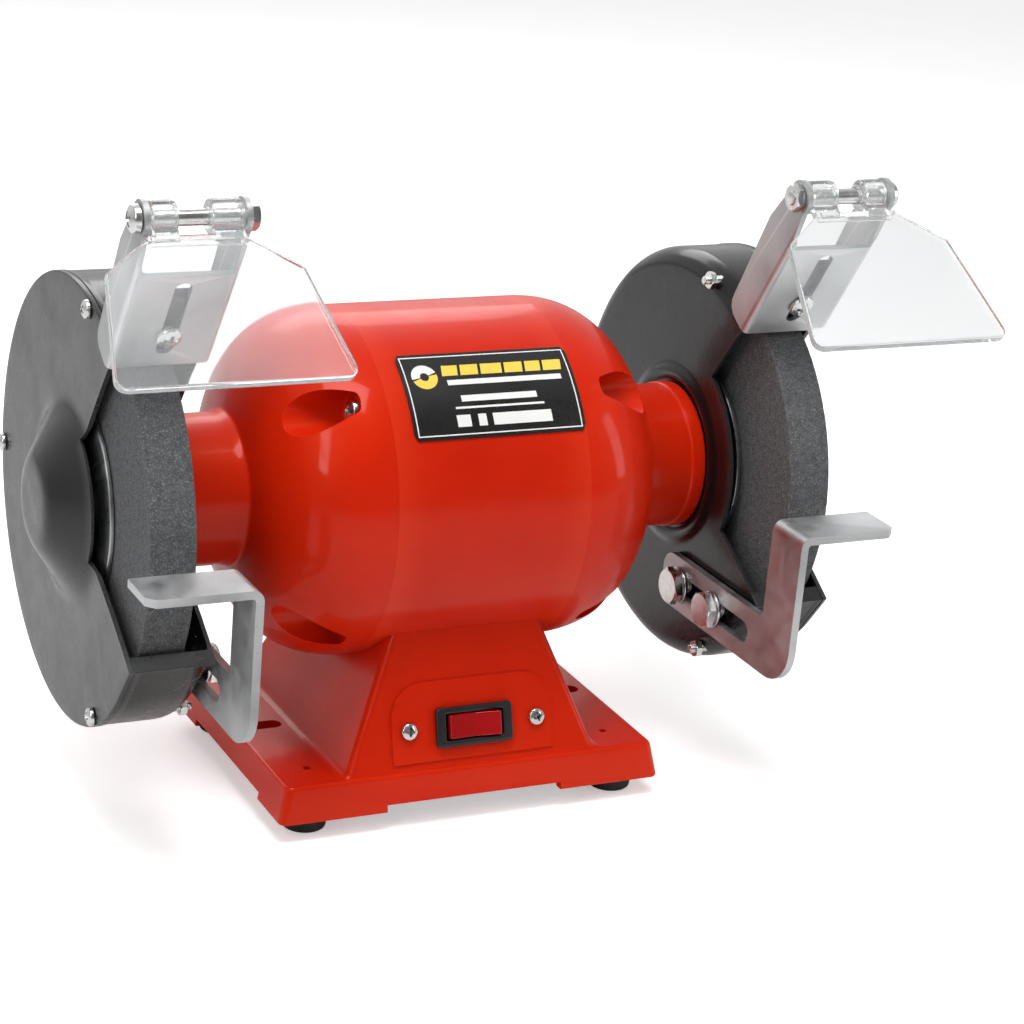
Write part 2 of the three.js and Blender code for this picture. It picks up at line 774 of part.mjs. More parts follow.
function eyeShield() {
  const [top, mid, low] = SHIELD_HALF;
  const plan = [
    [-top, -SHIELD_TOP], [top, -SHIELD_TOP], [mid, -SHIELD_SHOULDER],
    [low, -SHIELD_EDGE + 4], [low - 1, -SHIELD_EDGE + 1], [low - 4, -SHIELD_EDGE],
    [-low + 4, -SHIELD_EDGE], [-low + 1, -SHIELD_EDGE + 1], [-low, -SHIELD_EDGE + 4], [-mid, -SHIELD_SHOULDER],
  ];
  const pane = plateY(plan, SHIELD_T / 2, -SHIELD_T / 2);
  const knuckles = KNUCKLES.flatMap(([a, b]) => [
    rodX(a - SHIELD_X, b - SHIELD_X, 0, 0, 6, 20),
    box(a - SHIELD_X, b - SHIELD_X, -SHIELD_T / 2, SHIELD_T / 2, -SHIELD_TOP - 1, -3),
  ]);
  const bore = rodX(-30, 30, 0, 0, ROD_R + GAP, 16);
  const flat = cut(join(pane, ...knuckles), bore);
  return moved(turnX(flat, -rad(90 - SHIELD_DROP)), SHIELD_X, ROD[0], ROD[1]);
}

// ---------------------------------------------------------------- assembly
place('motor_barrel', motorBarrel(), PAINT);
placePair('end_bell', endBell(), PAINT);
boltPlaces().forEach(([y, z], i) => place(`motor_bolt_${i + 1}`, throughBolt(y, z), ZINC));
place('stator_core', statorCore(), STEEL);
placePair('stator_winding', windingRing(), COPPER);
placePair('shaft_bearing', bearing(), STEEL);
place('motor_shaft', motorShaft(), STEEL);
place('rotor_core', rotorCore(), STEEL);
place('name_plate', namePlate(), PLASTIC);

place('base_casting', baseCasting(), PAINT);
place('bottom_cover', bottomCover(), ZINC);
[[-1, -1], [1, -1], [-1, 1], [1, 1]].forEach(([sx, sy], i) => {
  const foot = place(`rubber_foot_${i + 1}`, rubberFoot(), RUBBER);
  foot.position.set(sx * FEET_X, BASE_Y + sy * FEET_Y, 0);
});
place('switch_bezel', switchBezel(), PLASTIC);
place('switch_rocker', switchRocker(), LAMP_RED);
[-25.9, 25.9].forEach((x, i) => place(`switch_screw_${i + 1}`, switchScrew(x), ZINC));
place('run_capacitor', capacitor(), PLASTIC);
place('cord_gland', cordGland(), PLASTIC);

placePair('wheel_guard', guard(), BLACK);
placePair('guard_cover', guardCover(), BLACK);
COVER_SCREW_ANGLES.forEach((a, i) => placePair(`cover_screw_${i + 1}`, coverScrew(a), ZINC));
placePair('inner_flange', innerFlange(), STEEL);
placePair('grinding_wheel', grindingWheel(), GRIT);
placePair('outer_flange', outerFlange(), STEEL);
placePair('wheel_nut', wheelNut(), STEEL);
placePair('tool_rest', toolRest(), ZINC);
REST_BOLTS.forEach((y, i) => placePair(`rest_bolt_${i + 1}`, restBolt(y), ZINC));
placePair('shield_bracket', shieldBracket(), ZINC);
placePair('bracket_screw', bracketScrew(), ZINC);
placePair('pivot_rod', pivotRod(), ZINC);
placePair('eye_shield', eyeShield(), CLEAR);

export default grinder;
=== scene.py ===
# %% [markdown]
# # A bench grinder, piece by piece
# A bench grinder is a motor with a grinding wheel on each end of its shaft.
# The engineering model already fixes every size, so this lesson loads it first.

# %% Load the engineering model
import json
import math
import random

import bmesh
import bpy
from mathutils import Matrix, Vector, geometry, noise


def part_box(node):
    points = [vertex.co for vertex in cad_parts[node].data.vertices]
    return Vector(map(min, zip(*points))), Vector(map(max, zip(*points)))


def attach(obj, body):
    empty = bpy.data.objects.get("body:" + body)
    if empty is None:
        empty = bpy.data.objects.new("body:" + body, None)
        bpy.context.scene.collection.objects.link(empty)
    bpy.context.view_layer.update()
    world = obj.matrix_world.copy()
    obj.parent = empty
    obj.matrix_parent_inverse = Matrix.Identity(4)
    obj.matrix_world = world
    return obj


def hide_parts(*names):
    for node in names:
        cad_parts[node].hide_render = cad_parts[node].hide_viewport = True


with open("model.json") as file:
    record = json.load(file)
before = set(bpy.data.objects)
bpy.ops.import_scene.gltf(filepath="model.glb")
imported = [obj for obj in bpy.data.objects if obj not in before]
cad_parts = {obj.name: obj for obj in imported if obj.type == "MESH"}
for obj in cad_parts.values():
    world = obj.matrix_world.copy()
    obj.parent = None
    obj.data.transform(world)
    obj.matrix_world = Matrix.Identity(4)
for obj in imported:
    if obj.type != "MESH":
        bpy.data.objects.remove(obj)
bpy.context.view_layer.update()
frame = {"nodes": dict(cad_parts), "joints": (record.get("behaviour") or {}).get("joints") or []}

# %% [markdown]
# ## Measuring from the shaft
# Almost everything on a grinder is round and sits on one shaft, so the handiest
# ruler starts at the middle of that shaft. x runs along it, y goes to the back of
# the bench and z goes up. Sizes below are in millimetres from that point, and
# one small function turns them into Blender's metres.

# %% The shaft's middle
def middle(node):
    low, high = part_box(node)
    return (low + high) / 2


SHAFT = middle("motor_shaft")


def spot(x, y, z):
    return SHAFT + Vector((x, y, z)) / 1000


def extent(node, axis):
    # lowest and highest millimetre of a piece along one axis, seen from the shaft
    low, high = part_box(node)
    return (low[axis] - SHAFT[axis]) * 1000, (high[axis] - SHAFT[axis]) * 1000


barrel_radius = extent("motor_barrel", 2)[1]
barrel_half = extent("motor_barrel", 0)[1]
collar_end = extent("end_bell_right", 0)[1]
wheel_radius = extent("grinding_wheel_right", 2)[1]
print("shaft at", list(SHAFT), "barrel radius", round(barrel_radius, 2), "mm")

# %% [markdown]
# ## From numbers to a mesh
# Every piece ends up as a list of corners and a list of faces. This helper makes
# the object, turns all faces outwards, shades it smooth except at real corners,
# and hands it to the body it moves with. A weighted-normal modifier keeps big flat
# faces looking flat beside their small rounded edges.

# %% Make a piece
made = []
same_point, no_length = 1e-6, 1e-7  # metres


def piece(name, corners, faces, body, finish, node=None, crease=40, weighted=True):
    mesh = bpy.data.meshes.new(name)
    mesh.from_pydata([spot(*c) for c in corners], [], faces)
    return dress(name, mesh, body, finish, node, crease, weighted)


def tidy_mesh(mesh, crease):
    work = bmesh.new()
    work.from_mesh(mesh)
    bmesh.ops.remove_doubles(work, verts=work.verts, dist=same_point)
    bmesh.ops.dissolve_degenerate(work, edges=work.edges, dist=no_length)
    bmesh.ops.recalc_face_normals(work, faces=work.faces)
    for face in work.faces:
        face.smooth = True
    for edge in work.edges:
        edge.smooth = edge.calc_face_angle(0) < math.radians(crease)
    work.to_mesh(mesh)
    work.free()


def dress(name, mesh, body, finish, node=None, crease=40, weighted=True):
    tidy_mesh(mesh, crease)
    obj = bpy.data.objects.new(name, mesh)
    bpy.context.scene.collection.objects.link(obj)
    mesh.materials.clear()
    mesh.materials.append(finish["material"])
    if weighted:
        flat = obj.modifiers.new("flat_faces", "WEIGHTED_NORMAL")
        flat.keep_sharp = True
    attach(obj, body)
    if node:
        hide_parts(node)
    made.append(obj)
    return obj

# %% [markdown]
# ## Rounded corners
# Nothing on a real machine has a perfectly sharp corner: castings are filleted and
# sheet metal is deburred. Light catches those small rounds, so they are built as
# real geometry. `soft_corners` takes an outline whose points may carry a radius and
# swaps each such corner for a short arc.

# %% Round an outline
def soft_corners(points, steps=6):
    rounded = []
    count = len(points)
    for i, (u, v, radius) in enumerate(points):
        here = Vector((u, v))
        before = (Vector(points[i - 1][:2]) - here)
        after = (Vector(points[(i + 1) % count][:2]) - here)
        if radius <= 0 or before.length < 1e-9 or after.length < 1e-9:
            rounded.append((u, v))
            continue
        before.normalize()
        after.normalize()
        opening = math.acos(max(-1.0, min(1.0, before.dot(after))))
        if opening > math.pi - 1e-3:
            rounded.append((u, v))
            continue
        reach = radius / math.tan(opening / 2)
        centre = here + (before + after).normalized() * (radius / math.sin(opening / 2))
        start = here + before * reach - centre
        swing = start.angle_signed(here + after * reach - centre)
        for k in range(steps + 1):
            angle = -swing * k / steps
            c, s = math.cos(angle), math.sin(angle)
            rounded.append((centre.x + start.x * c - start.y * s,
                            centre.y + start.x * s + start.y * c))
    return rounded


def arc(cu, cv, radius, start, end, steps):
    return [(cu + radius * math.cos(math.radians(start + (end - start) * k / steps)),
             cv + radius * math.sin(math.radians(start + (end - start) * k / steps)))
            for k in range(steps + 1)]


square = [(0, 0, 1), (9, 0, 1), (9, 9, 1), (0, 9, 1)]
print("a square with 1 mm corners has", len(soft_corners(square)), "points")

# %% [markdown]
# ## Turning on the lathe
# Housings, wheels, flanges, nuts and screw heads are turned parts. A lathe spins a
# side view round an axis, so `turned` does the same: it takes (x, radius) points and
# sweeps them round a line that runs along the shaft.

# %% Turn a profile
def turned_mesh(profile, segments, y=0.0, z=0.0):
    on_axis_ends = profile[0][1] < 1e-6 and profile[-1][1] < 1e-6
    corners, faces = [], []
    rings = len(profile)
    for k in range(segments):
        angle = 2 * math.pi * k / segments
        for x, radius in profile:
            corners.append((x, y + radius * math.cos(angle), z + radius * math.sin(angle)))
    for k in range(segments):
        nxt = (k + 1) % segments
        last = rings - 1 if on_axis_ends else rings
        for j in range(last):
            jj = (j + 1) % rings
            faces.append((k * rings + j, k * rings + jj, nxt * rings + jj, nxt * rings + j))
    return corners, faces


def turned(name, profile, segments, body, finish, node=None, y=0.0, z=0.0, crease=35):
    corners, faces = turned_mesh(profile, segments, y, z)
    return piece(name, corners, faces, body, finish, node, crease)


washer_section = [(0, 2), (1, 2), (1, 5), (0, 5)]
print("a washer turned in 24 steps has", len(turned_mesh(washer_section, 24)[1]), "faces")

# %% [markdown]
# ## Cutting plate
# Brackets, covers and windows are flat stock. `slab` fills an outline that may have
# holes, gives it thickness, and rolls a small round over every edge by stepping the
# outline inwards as it nears each face.

# %% Cut a slab with rounded edges
def shifted(loop, distance):
    # the outline moved inwards, to the left of its direction of travel
    moved = []
    count = len(loop)
    for i in range(count):
        p = Vector(loop[i])
        a = (p - Vector(loop[i - 1]))
        b = (Vector(loop[(i + 1) % count]) - p)
        if a.length < 1e-9 or b.length < 1e-9:
            moved.append(tuple(p))
            continue
        a.normalize()
        b.normalize()
        na, nb = Vector((-a.y, a.x)), Vector((-b.y, b.x))
        bend = max(0.35, 1 + na.dot(nb))
        moved.append(tuple(p + (na + nb) * (distance / bend)))
    return moved


def drawn_in(loop, inset):
    return shifted(loop, inset) if inset > 1e-9 else loop


def turning(loop):
    # positive for an outline that runs anticlockwise
    return sum(loop[i - 1][0] * loop[i][1] - loop[i][0] * loop[i - 1][1]
               for i in range(len(loop)))


def slab_mesh(outline, holes, low, high, edge, place, steps=3):
    # place(u, v, w) says where a point of the plate belongs
    loops = [outline if turning(outline) > 0 else outline[::-1]]
    loops += [hole if turning(hole) < 0 else hole[::-1] for hole in holes]
    levels = []
    for k in range(steps + 1):
        swing = math.pi / 2 * k / steps
        levels.append((low + edge * (1 - math.sin(swing)), edge * (1 - math.cos(swing))))
    levels = levels[::-1] + [(high + low - w, inset) for w, inset in levels]
    corners, faces, start = [], [], []
    for w, inset in levels:
        start.append(len(corners))
        for loop in loops:
            corners += [place(u, v, w) for u, v in drawn_in(loop, inset)]
    for k in range(len(levels) - 1):
        offset = 0
        for loop in loops:
            n = len(loop)
            for i in range(n):
                j = (i + 1) % n
                faces.append((start[k] + offset + i, start[k] + offset + j,
                              start[k + 1] + offset + j, start[k + 1] + offset + i))
            offset += n
    inset = levels[0][1]
    flat = [[Vector((u, v, 0)) for u, v in drawn_in(loop, inset)] for loop in loops]
    for a, b, c in geometry.tessellate_polygon(flat):
        faces.append((start[0] + a, start[0] + b, start[0] + c))
        faces.append((start[-1] + a, start[-1] + c, start[-1] + b))
    return corners, faces


def along_shaft(u, v, w):
    return (w, u, v)


def slab(name, outline, holes, low, high, edge, body, finish, node=None, place=along_shaft):
    corners, faces = slab_mesh(outline, holes, low, high, edge, place)
    return piece(name, corners, faces, body, finish, node)

# %% [markdown]
# ## Drilling, milling and welding
# Some shapes are one solid minus another, such as a screw head minus the driver's
# cross. Blender's boolean modifier does that. Each tool is a throwaway mesh, and a
# bevel afterwards softens the fresh edges as a file would.

# %% Combine solids
weld_gap = 0.00002  # metres


def loose(corners, faces):
    mesh = bpy.data.meshes.new("tool")
    mesh.from_pydata([spot(*c) for c in corners], [], faces)
    tidy_mesh(mesh, 40)
    obj = bpy.data.objects.new("tool", mesh)
    bpy.context.scene.collection.objects.link(obj)
    return obj


def settled(obj):
    # the mesh with its modifiers applied
    bpy.context.view_layer.update()
    ready = obj.evaluated_get(bpy.context.evaluated_depsgraph_get())
    mesh = bpy.data.meshes.new_from_object(ready)
    bpy.data.objects.remove(obj, do_unlink=True)
    return mesh


def worked(solid, tools, how="DIFFERENCE", edge=0.0, edge_steps=2, edge_angle=40):
    for tool in tools:
        step = solid.modifiers.new("cut", "BOOLEAN")
        step.operation = how
        step.solver = "EXACT"
        step.object = tool
    if edge > 0:
        weld = solid.modifiers.new("weld", "WELD")
        weld.merge_threshold = weld_gap
        soften = solid.modifiers.new("soften", "BEVEL")
        soften.width = edge / 1000
        soften.segments = edge_steps
        soften.limit_method = "ANGLE"
        soften.angle_limit = math.radians(edge_angle)
        soften.use_clamp_overlap = True
        soften.miter_outer = "MITER_ARC"
    mesh = settled(solid)
    for tool in tools:
        bpy.data.objects.remove(tool, do_unlink=True)
    return mesh


def relinked(mesh):
    obj = bpy.data.objects.new("work", mesh)
    bpy.context.scene.collection.objects.link(obj)
    return obj


# %% Simple cutting tools
def block(x0, x1, y0, y1, z0, z1):
    corners = [(x, y, z) for x in (x0, x1) for y in (y0, y1) for z in (z0, z1)]
    faces = [(0, 1, 3, 2), (4, 6, 7, 5), (0, 4, 5, 1), (2, 3, 7, 6), (0, 2, 6, 4),
             (1, 5, 7, 3)]
    return loose(corners, faces)


def bar_tool(x0, x1, y, z, radius, segments=48):
    return loose(*turned_mesh([(x0, 0), (x0, radius), (x1, radius), (x1, 0)], segments, y, z))

# %% [markdown]
# ## Finishes
# A finish is never one flat colour. Paint pools and ripples, zinc plating clouds,
# rubber is dusty, and edges that hands touch are paler. Each finish below uses three
# noises at different sizes: one drifts the colour, one drifts the gloss, and one
# ripples the surface. A fourth mask picks out convex edges for wear.
# The noises are measured in the object's own space, so they stay put as parts move.

# %% Join shader nodes
FINISHES = {}
NOISE_LOW, NOISE_SPAN = 0.3, 0.4  # where most of a noise's values lie


def link(nodes, start, start_socket, end, end_socket):
    nodes.id_data.links.new(start.outputs[start_socket], end.inputs[end_socket])


def add(nodes, kind, **sockets):
    node = nodes.new(kind)
    for name, value in sockets.items():
        node.inputs[name.replace("_", " ")].default_value = value
    return node


def mottle(nodes, place, scale, detail=5.0, roughness=0.6):
    cloud = add(nodes, "ShaderNodeTexNoise", Scale=scale, Detail=detail, Roughness=roughness)
    link(nodes, place, "Vector", cloud, "Vector")
    return cloud


def spread(nodes, source, socket, low, high, from_low=NOISE_LOW,
           from_high=NOISE_LOW + NOISE_SPAN):
    remap = nodes.new("ShaderNodeMapRange")
    remap.inputs["From Min"].default_value = from_low
    remap.inputs["From Max"].default_value = from_high
    remap.inputs["To Min"].default_value = low
    remap.inputs["To Max"].default_value = high
    link(nodes, source, socket, remap, "Value")
    return remap


def blended(nodes, mask, mask_socket, under, under_socket, over):
    # a colour mix keeps its two colours in inputs 6 and 7 and its result in output 2
    mix = nodes.new("ShaderNodeMix")
    mix.data_type = "RGBA"
    nodes.id_data.links.new(mask.outputs[mask_socket], mix.inputs["Factor"])
    nodes.id_data.links.new(under.outputs[under_socket], mix.inputs[6])
    mix.inputs[7].default_value = (*over, 1)
    return mix


# %% Brew a finish
speck_edge = 0.08
convex_from, convex_to = 0.53, 0.62


def brew(name, slot, tones, gloss, ripple, drift=18.0, gloss_scale=60.0, stretch=(1, 1, 1),
         metal=0.0, coat=0.0, coat_gloss=0.05, sheen_level=0.5, glow=None, worn=None,
         worn_amount=0.5, specks=None, speck_size=900.0, speck_level=0.62):
    # tones: colours from dark to light; gloss: (smoothest, roughest);
    # ripple: (scale, depth in mm); drift, gloss_scale and speck_size: noise scales;
    # glow: tint of the highlights; worn: colour of rubbed edges
    material = bpy.data.materials.new(name)
    material.use_nodes = True
    nodes = material.node_tree.nodes
    shader = nodes["Principled BSDF"]
    shader.inputs["Metallic"].default_value = metal
    shader.inputs["Coat Weight"].default_value = coat
    shader.inputs["Coat Roughness"].default_value = coat_gloss
    shader.inputs["Specular IOR Level"].default_value = sheen_level
    if glow:
        shader.inputs["Specular Tint"].default_value = (*glow, 1)
    where = nodes.new("ShaderNodeTexCoord")
    place = add(nodes, "ShaderNodeMapping", Scale=stretch)
    link(nodes, where, "Object", place, "Vector")
    ramp = nodes.new("ShaderNodeValToRGB")
    for k, tone in enumerate(tones):
        at = NOISE_LOW + NOISE_SPAN * k / max(1, len(tones) - 1)
        stop = ramp.color_ramp.elements[k] if k < 2 else ramp.color_ramp.elements.new(at)
        stop.position = at
        stop.color = (*tone, 1)
    link(nodes, mottle(nodes, place, drift), "Fac", ramp, "Fac")
    colour, socket = ramp, "Color"
    if specks:
        grains = mottle(nodes, place, speck_size, 3.0, 0.7)
        mask = spread(nodes, grains, "Fac", 0, 1, speck_level, speck_level + speck_edge)
        colour, socket = blended(nodes, mask, "Result", colour, socket, specks), 2
    if worn:
        shape = nodes.new("ShaderNodeNewGeometry")
        ridge = spread(nodes, shape, "Pointiness", 0, worn_amount, convex_from, convex_to)
        colour, socket = blended(nodes, ridge, "Result", colour, socket, worn), 2
    nodes.id_data.links.new(colour.outputs[socket], shader.inputs["Base Color"])
    haze = mottle(nodes, place, gloss_scale, 6.0, 0.65)
    link(nodes, spread(nodes, haze, "Fac", *gloss), "Result", shader, "Roughness")
    bump = nodes.new("ShaderNodeBump")
    bump.inputs["Strength"].default_value = 1.0
    bump.inputs["Distance"].default_value = ripple[1] / 1000
    link(nodes, mottle(nodes, place, ripple[0], 2.0, 0.5), "Fac", bump, "Height")
    link(nodes, bump, "Normal", shader, "Normal")
    FINISHES[name] = {"material": material, "slot": slot}
    print("brewed", name)
    return FINISHES[name]

# %% [markdown]
# ### Red paint
# The motor and its foot are cast, primed and sprayed in one glossy orange-red enamel.
# Sprayed enamel dries with a very shallow ripple called orange peel. A clear coat over
# a slightly rougher colour gives the soft wide glow with a crisp highlight on top.

# %% Red enamel
red_enamel = brew(
    "red_enamel", "red_paint",
    [(0.52, 0.011, 0.001), (0.60, 0.015, 0.0014), (0.65, 0.018, 0.0018)],
    gloss=(0.34, 0.46), ripple=(260, 0.02), drift=9, coat=0.22, coat_gloss=0.08,
    sheen_level=0.3, glow=(1, 0.3, 0.12), worn=(0.78, 0.07, 0.02), worn_amount=0.3,
    specks=(0.45, 0.010, 0.001), speck_size=1400, speck_level=0.7)

# %% [markdown]
# ### Black enamel
# The guards are pressed steel in black stoving enamel: glossy on the pressed drum and
# a little duller, with tiny dust pits, on the flat outer covers.

# %% Two black enamels
black_enamel = brew(
    "black_enamel", "black_enamel", [(0.0035, 0.0036, 0.004), (0.007, 0.007, 0.0075)],
    gloss=(0.2, 0.34), ripple=(320, 0.02), drift=12, coat=0.25, coat_gloss=0.1,
    sheen_level=0.22, worn=(0.05, 0.05, 0.052), worn_amount=0.5)
satin_black = brew(
    "satin_black", "black_enamel", [(0.007, 0.0072, 0.0078), (0.013, 0.0132, 0.014)],
    gloss=(0.22, 0.36), ripple=(500, 0.018), drift=14, coat=0.12, coat_gloss=0.14,
    sheen_level=0.34, worn=(0.08, 0.08, 0.082), worn_amount=0.6,
    specks=(0.03, 0.03, 0.031), speck_size=1600, speck_level=0.68)

# %% [markdown]
# ### Zinc and steel
# The rests and brackets are bent from sheet and zinc plated, which dries in pale
# clouds with darker pinholes. Bolts are plated brighter. The clamp flanges are bare
# turned steel, so their ripple is the finest of the three.

# %% Plated and bare metals
zinc_sheet = brew(
    "zinc_sheet", "zinc_plate",
    [(0.30, 0.305, 0.31), (0.45, 0.455, 0.46), (0.55, 0.555, 0.56)],
    gloss=(0.4, 0.6), ripple=(700, 0.012), drift=35, gloss_scale=140, metal=1.0,
    worn=(0.75, 0.75, 0.76), worn_amount=0.5, specks=(0.22, 0.22, 0.225),
    speck_size=800, speck_level=0.67)
bright_zinc = brew(
    "bright_zinc", "zinc_plate", [(0.55, 0.55, 0.54), (0.74, 0.74, 0.73)],
    gloss=(0.16, 0.32), ripple=(900, 0.006), drift=120, gloss_scale=300, metal=1.0,
    worn=(0.9, 0.9, 0.88), worn_amount=0.6, specks=(0.35, 0.34, 0.33), speck_size=1500)
turned_steel = brew(
    "turned_steel", "bare_steel", [(0.30, 0.31, 0.32), (0.44, 0.45, 0.46)],
    gloss=(0.24, 0.42), ripple=(1200, 0.008), drift=60, gloss_scale=400, metal=1.0,
    worn=(0.75, 0.76, 0.77), worn_amount=0.7, specks=(0.2, 0.2, 0.2), speck_size=1800)

# %% [markdown]
# ### Grinding wheel
# A wheel is crushed aluminium oxide grit baked in clay. Each grain is under half a
# millimetre, so the surface sparkles with pale grains between dark pores.

# %% Abrasive
grit = brew(
    "grit", "abrasive",
    [(0.045, 0.046, 0.048), (0.072, 0.073, 0.076), (0.098, 0.10, 0.103)],
    gloss=(0.75, 0.95), ripple=(1500, 0.35), drift=420, gloss_scale=900,
    specks=(0.19, 0.195, 0.2), speck_size=1700, speck_level=0.55, worn=(0.2, 0.2, 0.2),
    worn_amount=0.3)

# %% [markdown]
# ### Rubber, plastics and inks
# Moulded parts have a fine matt grain. The name plate is printed foil: its inks are
# thin and even, with only a little drift where they were rolled on.

# %% Moulded and printed finishes
black_rubber = brew(
    "black_rubber", "black_rubber", [(0.008, 0.008, 0.008), (0.018, 0.018, 0.018)],
    gloss=(0.6, 0.85), ripple=(1100, 0.03), worn=(0.05, 0.05, 0.05), worn_amount=0.4)
black_plastic = brew(
    "black_plastic", "black_plastic", [(0.008, 0.008, 0.009), (0.014, 0.014, 0.015)],
    gloss=(0.26, 0.42), ripple=(1600, 0.012), worn=(0.06, 0.06, 0.06), worn_amount=0.4)
plate_black = brew(
    "plate_black", "black_plastic", [(0.006, 0.005, 0.005), (0.011, 0.010, 0.010)],
    gloss=(0.22, 0.34), ripple=(500, 0.008), coat=0.3, coat_gloss=0.12)
plate_white = brew(
    "plate_white", "black_plastic", [(0.78, 0.78, 0.76), (0.86, 0.86, 0.84)],
    gloss=(0.3, 0.42), ripple=(500, 0.006))
plate_yellow = brew(
    "plate_yellow", "black_plastic", [(0.80, 0.56, 0.06), (0.88, 0.64, 0.09)],
    gloss=(0.3, 0.42), ripple=(500, 0.006))
copper = brew(
    "copper", "copper_wire", [(0.50, 0.20, 0.09), (0.72, 0.32, 0.16)],
    gloss=(0.25, 0.45), ripple=(900, 0.15), stretch=(6, 1, 1), metal=1.0)

# %% Rocker with a painted glow
red_lens = brew(
    "red_lens", "red_lens", [(0.22, 0.001, 0.002), (0.40, 0.002, 0.004)],
    gloss=(0.08, 0.18), ripple=(300, 0.01), coat=0.5, coat_gloss=0.04, sheen_level=0.3)
lens_shader = red_lens["material"].node_tree.nodes["Principled BSDF"]
# a faint painted glow: red emission that stands in for light passing through the rocker's red
# plastic
lens_shader.inputs["Emission Color"].default_value = (1.0, 0.01, 0.015, 1)
lens_shader.inputs["Emission Strength"].default_value = 0.05
print("the rocker glows at", round(lens_shader.inputs["Emission Strength"].default_value, 2))

# %% [markdown]
# ### Clear shield
# The eye shields are clear pressed plastic. Light bends in it, so its edges shine, and
# it is scuffed where sparks hit. Real light passes through the pane onto the rest,
# so shadow rays are let through with only a faint tint.

# %% Clear plastic
clear_plastic = brew(
    "clear_plastic", "clear_plastic", [(0.93, 0.95, 0.955), (0.965, 0.975, 0.98)],
    gloss=(0.015, 0.07), ripple=(90, 0.01), gloss_scale=35)
nodes = clear_plastic["material"].node_tree.nodes
pane = nodes["Principled BSDF"]
pane.inputs["Transmission Weight"].default_value = 0.92
pane.inputs["IOR"].default_value = 1.36
passing = add(nodes, "ShaderNodeBsdfTransparent", Color=(0.93, 0.95, 0.95, 1))
rays = nodes.new("ShaderNodeLightPath")
either = nodes.new("ShaderNodeMixShader")
link(nodes, rays, "Is Shadow Ray", either, "Fac")
nodes.id_data.links.new(pane.outputs["BSDF"], either.inputs[1])
nodes.id_data.links.new(passing.outputs["BSDF"], either.inputs[2])
nodes.id_data.links.new(either.outputs["Shader"], nodes["Material Output"].inputs["Surface"])
print("finishes:", ", ".join(sorted(FINISHES)))

# %% [markdown]
# ## The studio
# A small machine is usually shot on a white sweep with large soft boxes. The floor is
# one pale sheet, and a surround that is white behind and dimmer in front fills the
# shadows without washing out black enamel. A few big area lamps give the long smooth
# highlights that glossy paint needs.

# %% Floor
sheet_size = 24.0  # metres
tiles = 12
just_below = -0.0004
floor_mesh = bpy.data.meshes.new("studio_floor")
floor_points = [((i / tiles - 0.5) * sheet_size, (j / tiles - 0.5) * sheet_size, just_below)
                for j in range(tiles + 1) for i in range(tiles + 1)]
floor_row = tiles + 1
floor_faces = [(j * floor_row + i, j * floor_row + i + 1,
                (j + 1) * floor_row + i + 1, (j + 1) * floor_row + i)
               for j in range(tiles) for i in range(tiles)]
floor_mesh.from_pydata(floor_points, [], floor_faces)
floor = bpy.data.objects.new("studio_floor", floor_mesh)
bpy.context.scene.collection.objects.link(floor)
print("floor is", sheet_size, "m square")

# %% Floor paper
# the paper glows a little, but only where the camera sees it, so it lights nothing
paper = brew("studio_paper", "", [(0.90, 0.90, 0.90), (0.93, 0.93, 0.93)],
             gloss=(0.7, 0.85), ripple=(200, 0.02))
floor_mesh.materials.append(paper["material"])
paper_nodes = paper["material"].node_tree.nodes
paper_links = paper["material"].node_tree.links
plain_paper = paper_nodes["Principled BSDF"]
paper_glow = add(paper_nodes, "ShaderNodeEmission", Color=(1, 1, 1, 1), Strength=0.42)
lit_paper = paper_nodes.new("ShaderNodeAddShader")
paper_links.new(plain_paper.outputs["BSDF"], lit_paper.inputs[0])
paper_links.new(paper_glow.outputs["Emission"], lit_paper.inputs[1])
plain_or_lit = paper_nodes.new("ShaderNodeMixShader")
paper_ray = paper_nodes.new("ShaderNodeLightPath")
link(paper_nodes, paper_ray, "Is Camera Ray", plain_or_lit, "Fac")
paper_links.new(plain_paper.outputs["BSDF"], plain_or_lit.inputs[1])
paper_links.new(lit_paper.outputs["Shader"], plain_or_lit.inputs[2])
link(paper_nodes, plain_or_lit, "Shader", paper_nodes["Material Output"], "Surface")

# %% Surround
dim_front, bright_back = 0.16, 0.85
world = bpy.data.worlds.new("studio")
world.use_nodes = True
bpy.context.scene.world = world
world_nodes, world_links = world.node_tree.nodes, world.node_tree.links
surround = world_nodes["Background"]
surround.inputs["Color"].default_value = (1, 1, 1, 1)
outlook = world_nodes.new("ShaderNodeTexCoord")
compass = world_nodes.new("ShaderNodeSeparateXYZ")
link(world_nodes, outlook, "Generated", compass, "Vector")
dusk = spread(world_nodes, compass, "Y", dim_front, bright_back, from_low=-0.45, from_high=0.75)
link(world_nodes, dusk, "Result", surround, "Strength")
seen_white = add(world_nodes, "ShaderNodeBackground", Color=(1, 1, 1, 1), Strength=1.0)
eye_ray = world_nodes.new("ShaderNodeLightPath")
both = world_nodes.new("ShaderNodeMixShader")
link(world_nodes, eye_ray, "Is Camera Ray", both, "Fac")
world_links.new(surround.outputs["Background"], both.inputs[1])
world_links.new(seen_white.outputs["Background"], both.inputs[2])
world_links.new(both.outputs["Shader"], world_nodes["World Output"].inputs["Surface"])
print("surround goes from", dim_front, "in front to", bright_back, "behind")


# %% Lamps
def soft_box(name, at, wide, tall, watts):
    # a rectangular area lamp aimed at the middle of the shaft
    lamp = bpy.data.lights.new(name, "AREA")
    lamp.shape = "RECTANGLE"
    lamp.size, lamp.size_y = wide, tall
    lamp.energy = watts
    box = bpy.data.objects.new(name, lamp)
    bpy.context.scene.collection.objects.link(box)
    box.location = at
    box.rotation_euler = (SHAFT - Vector(at)).to_track_quat("-Z", "Y").to_euler()


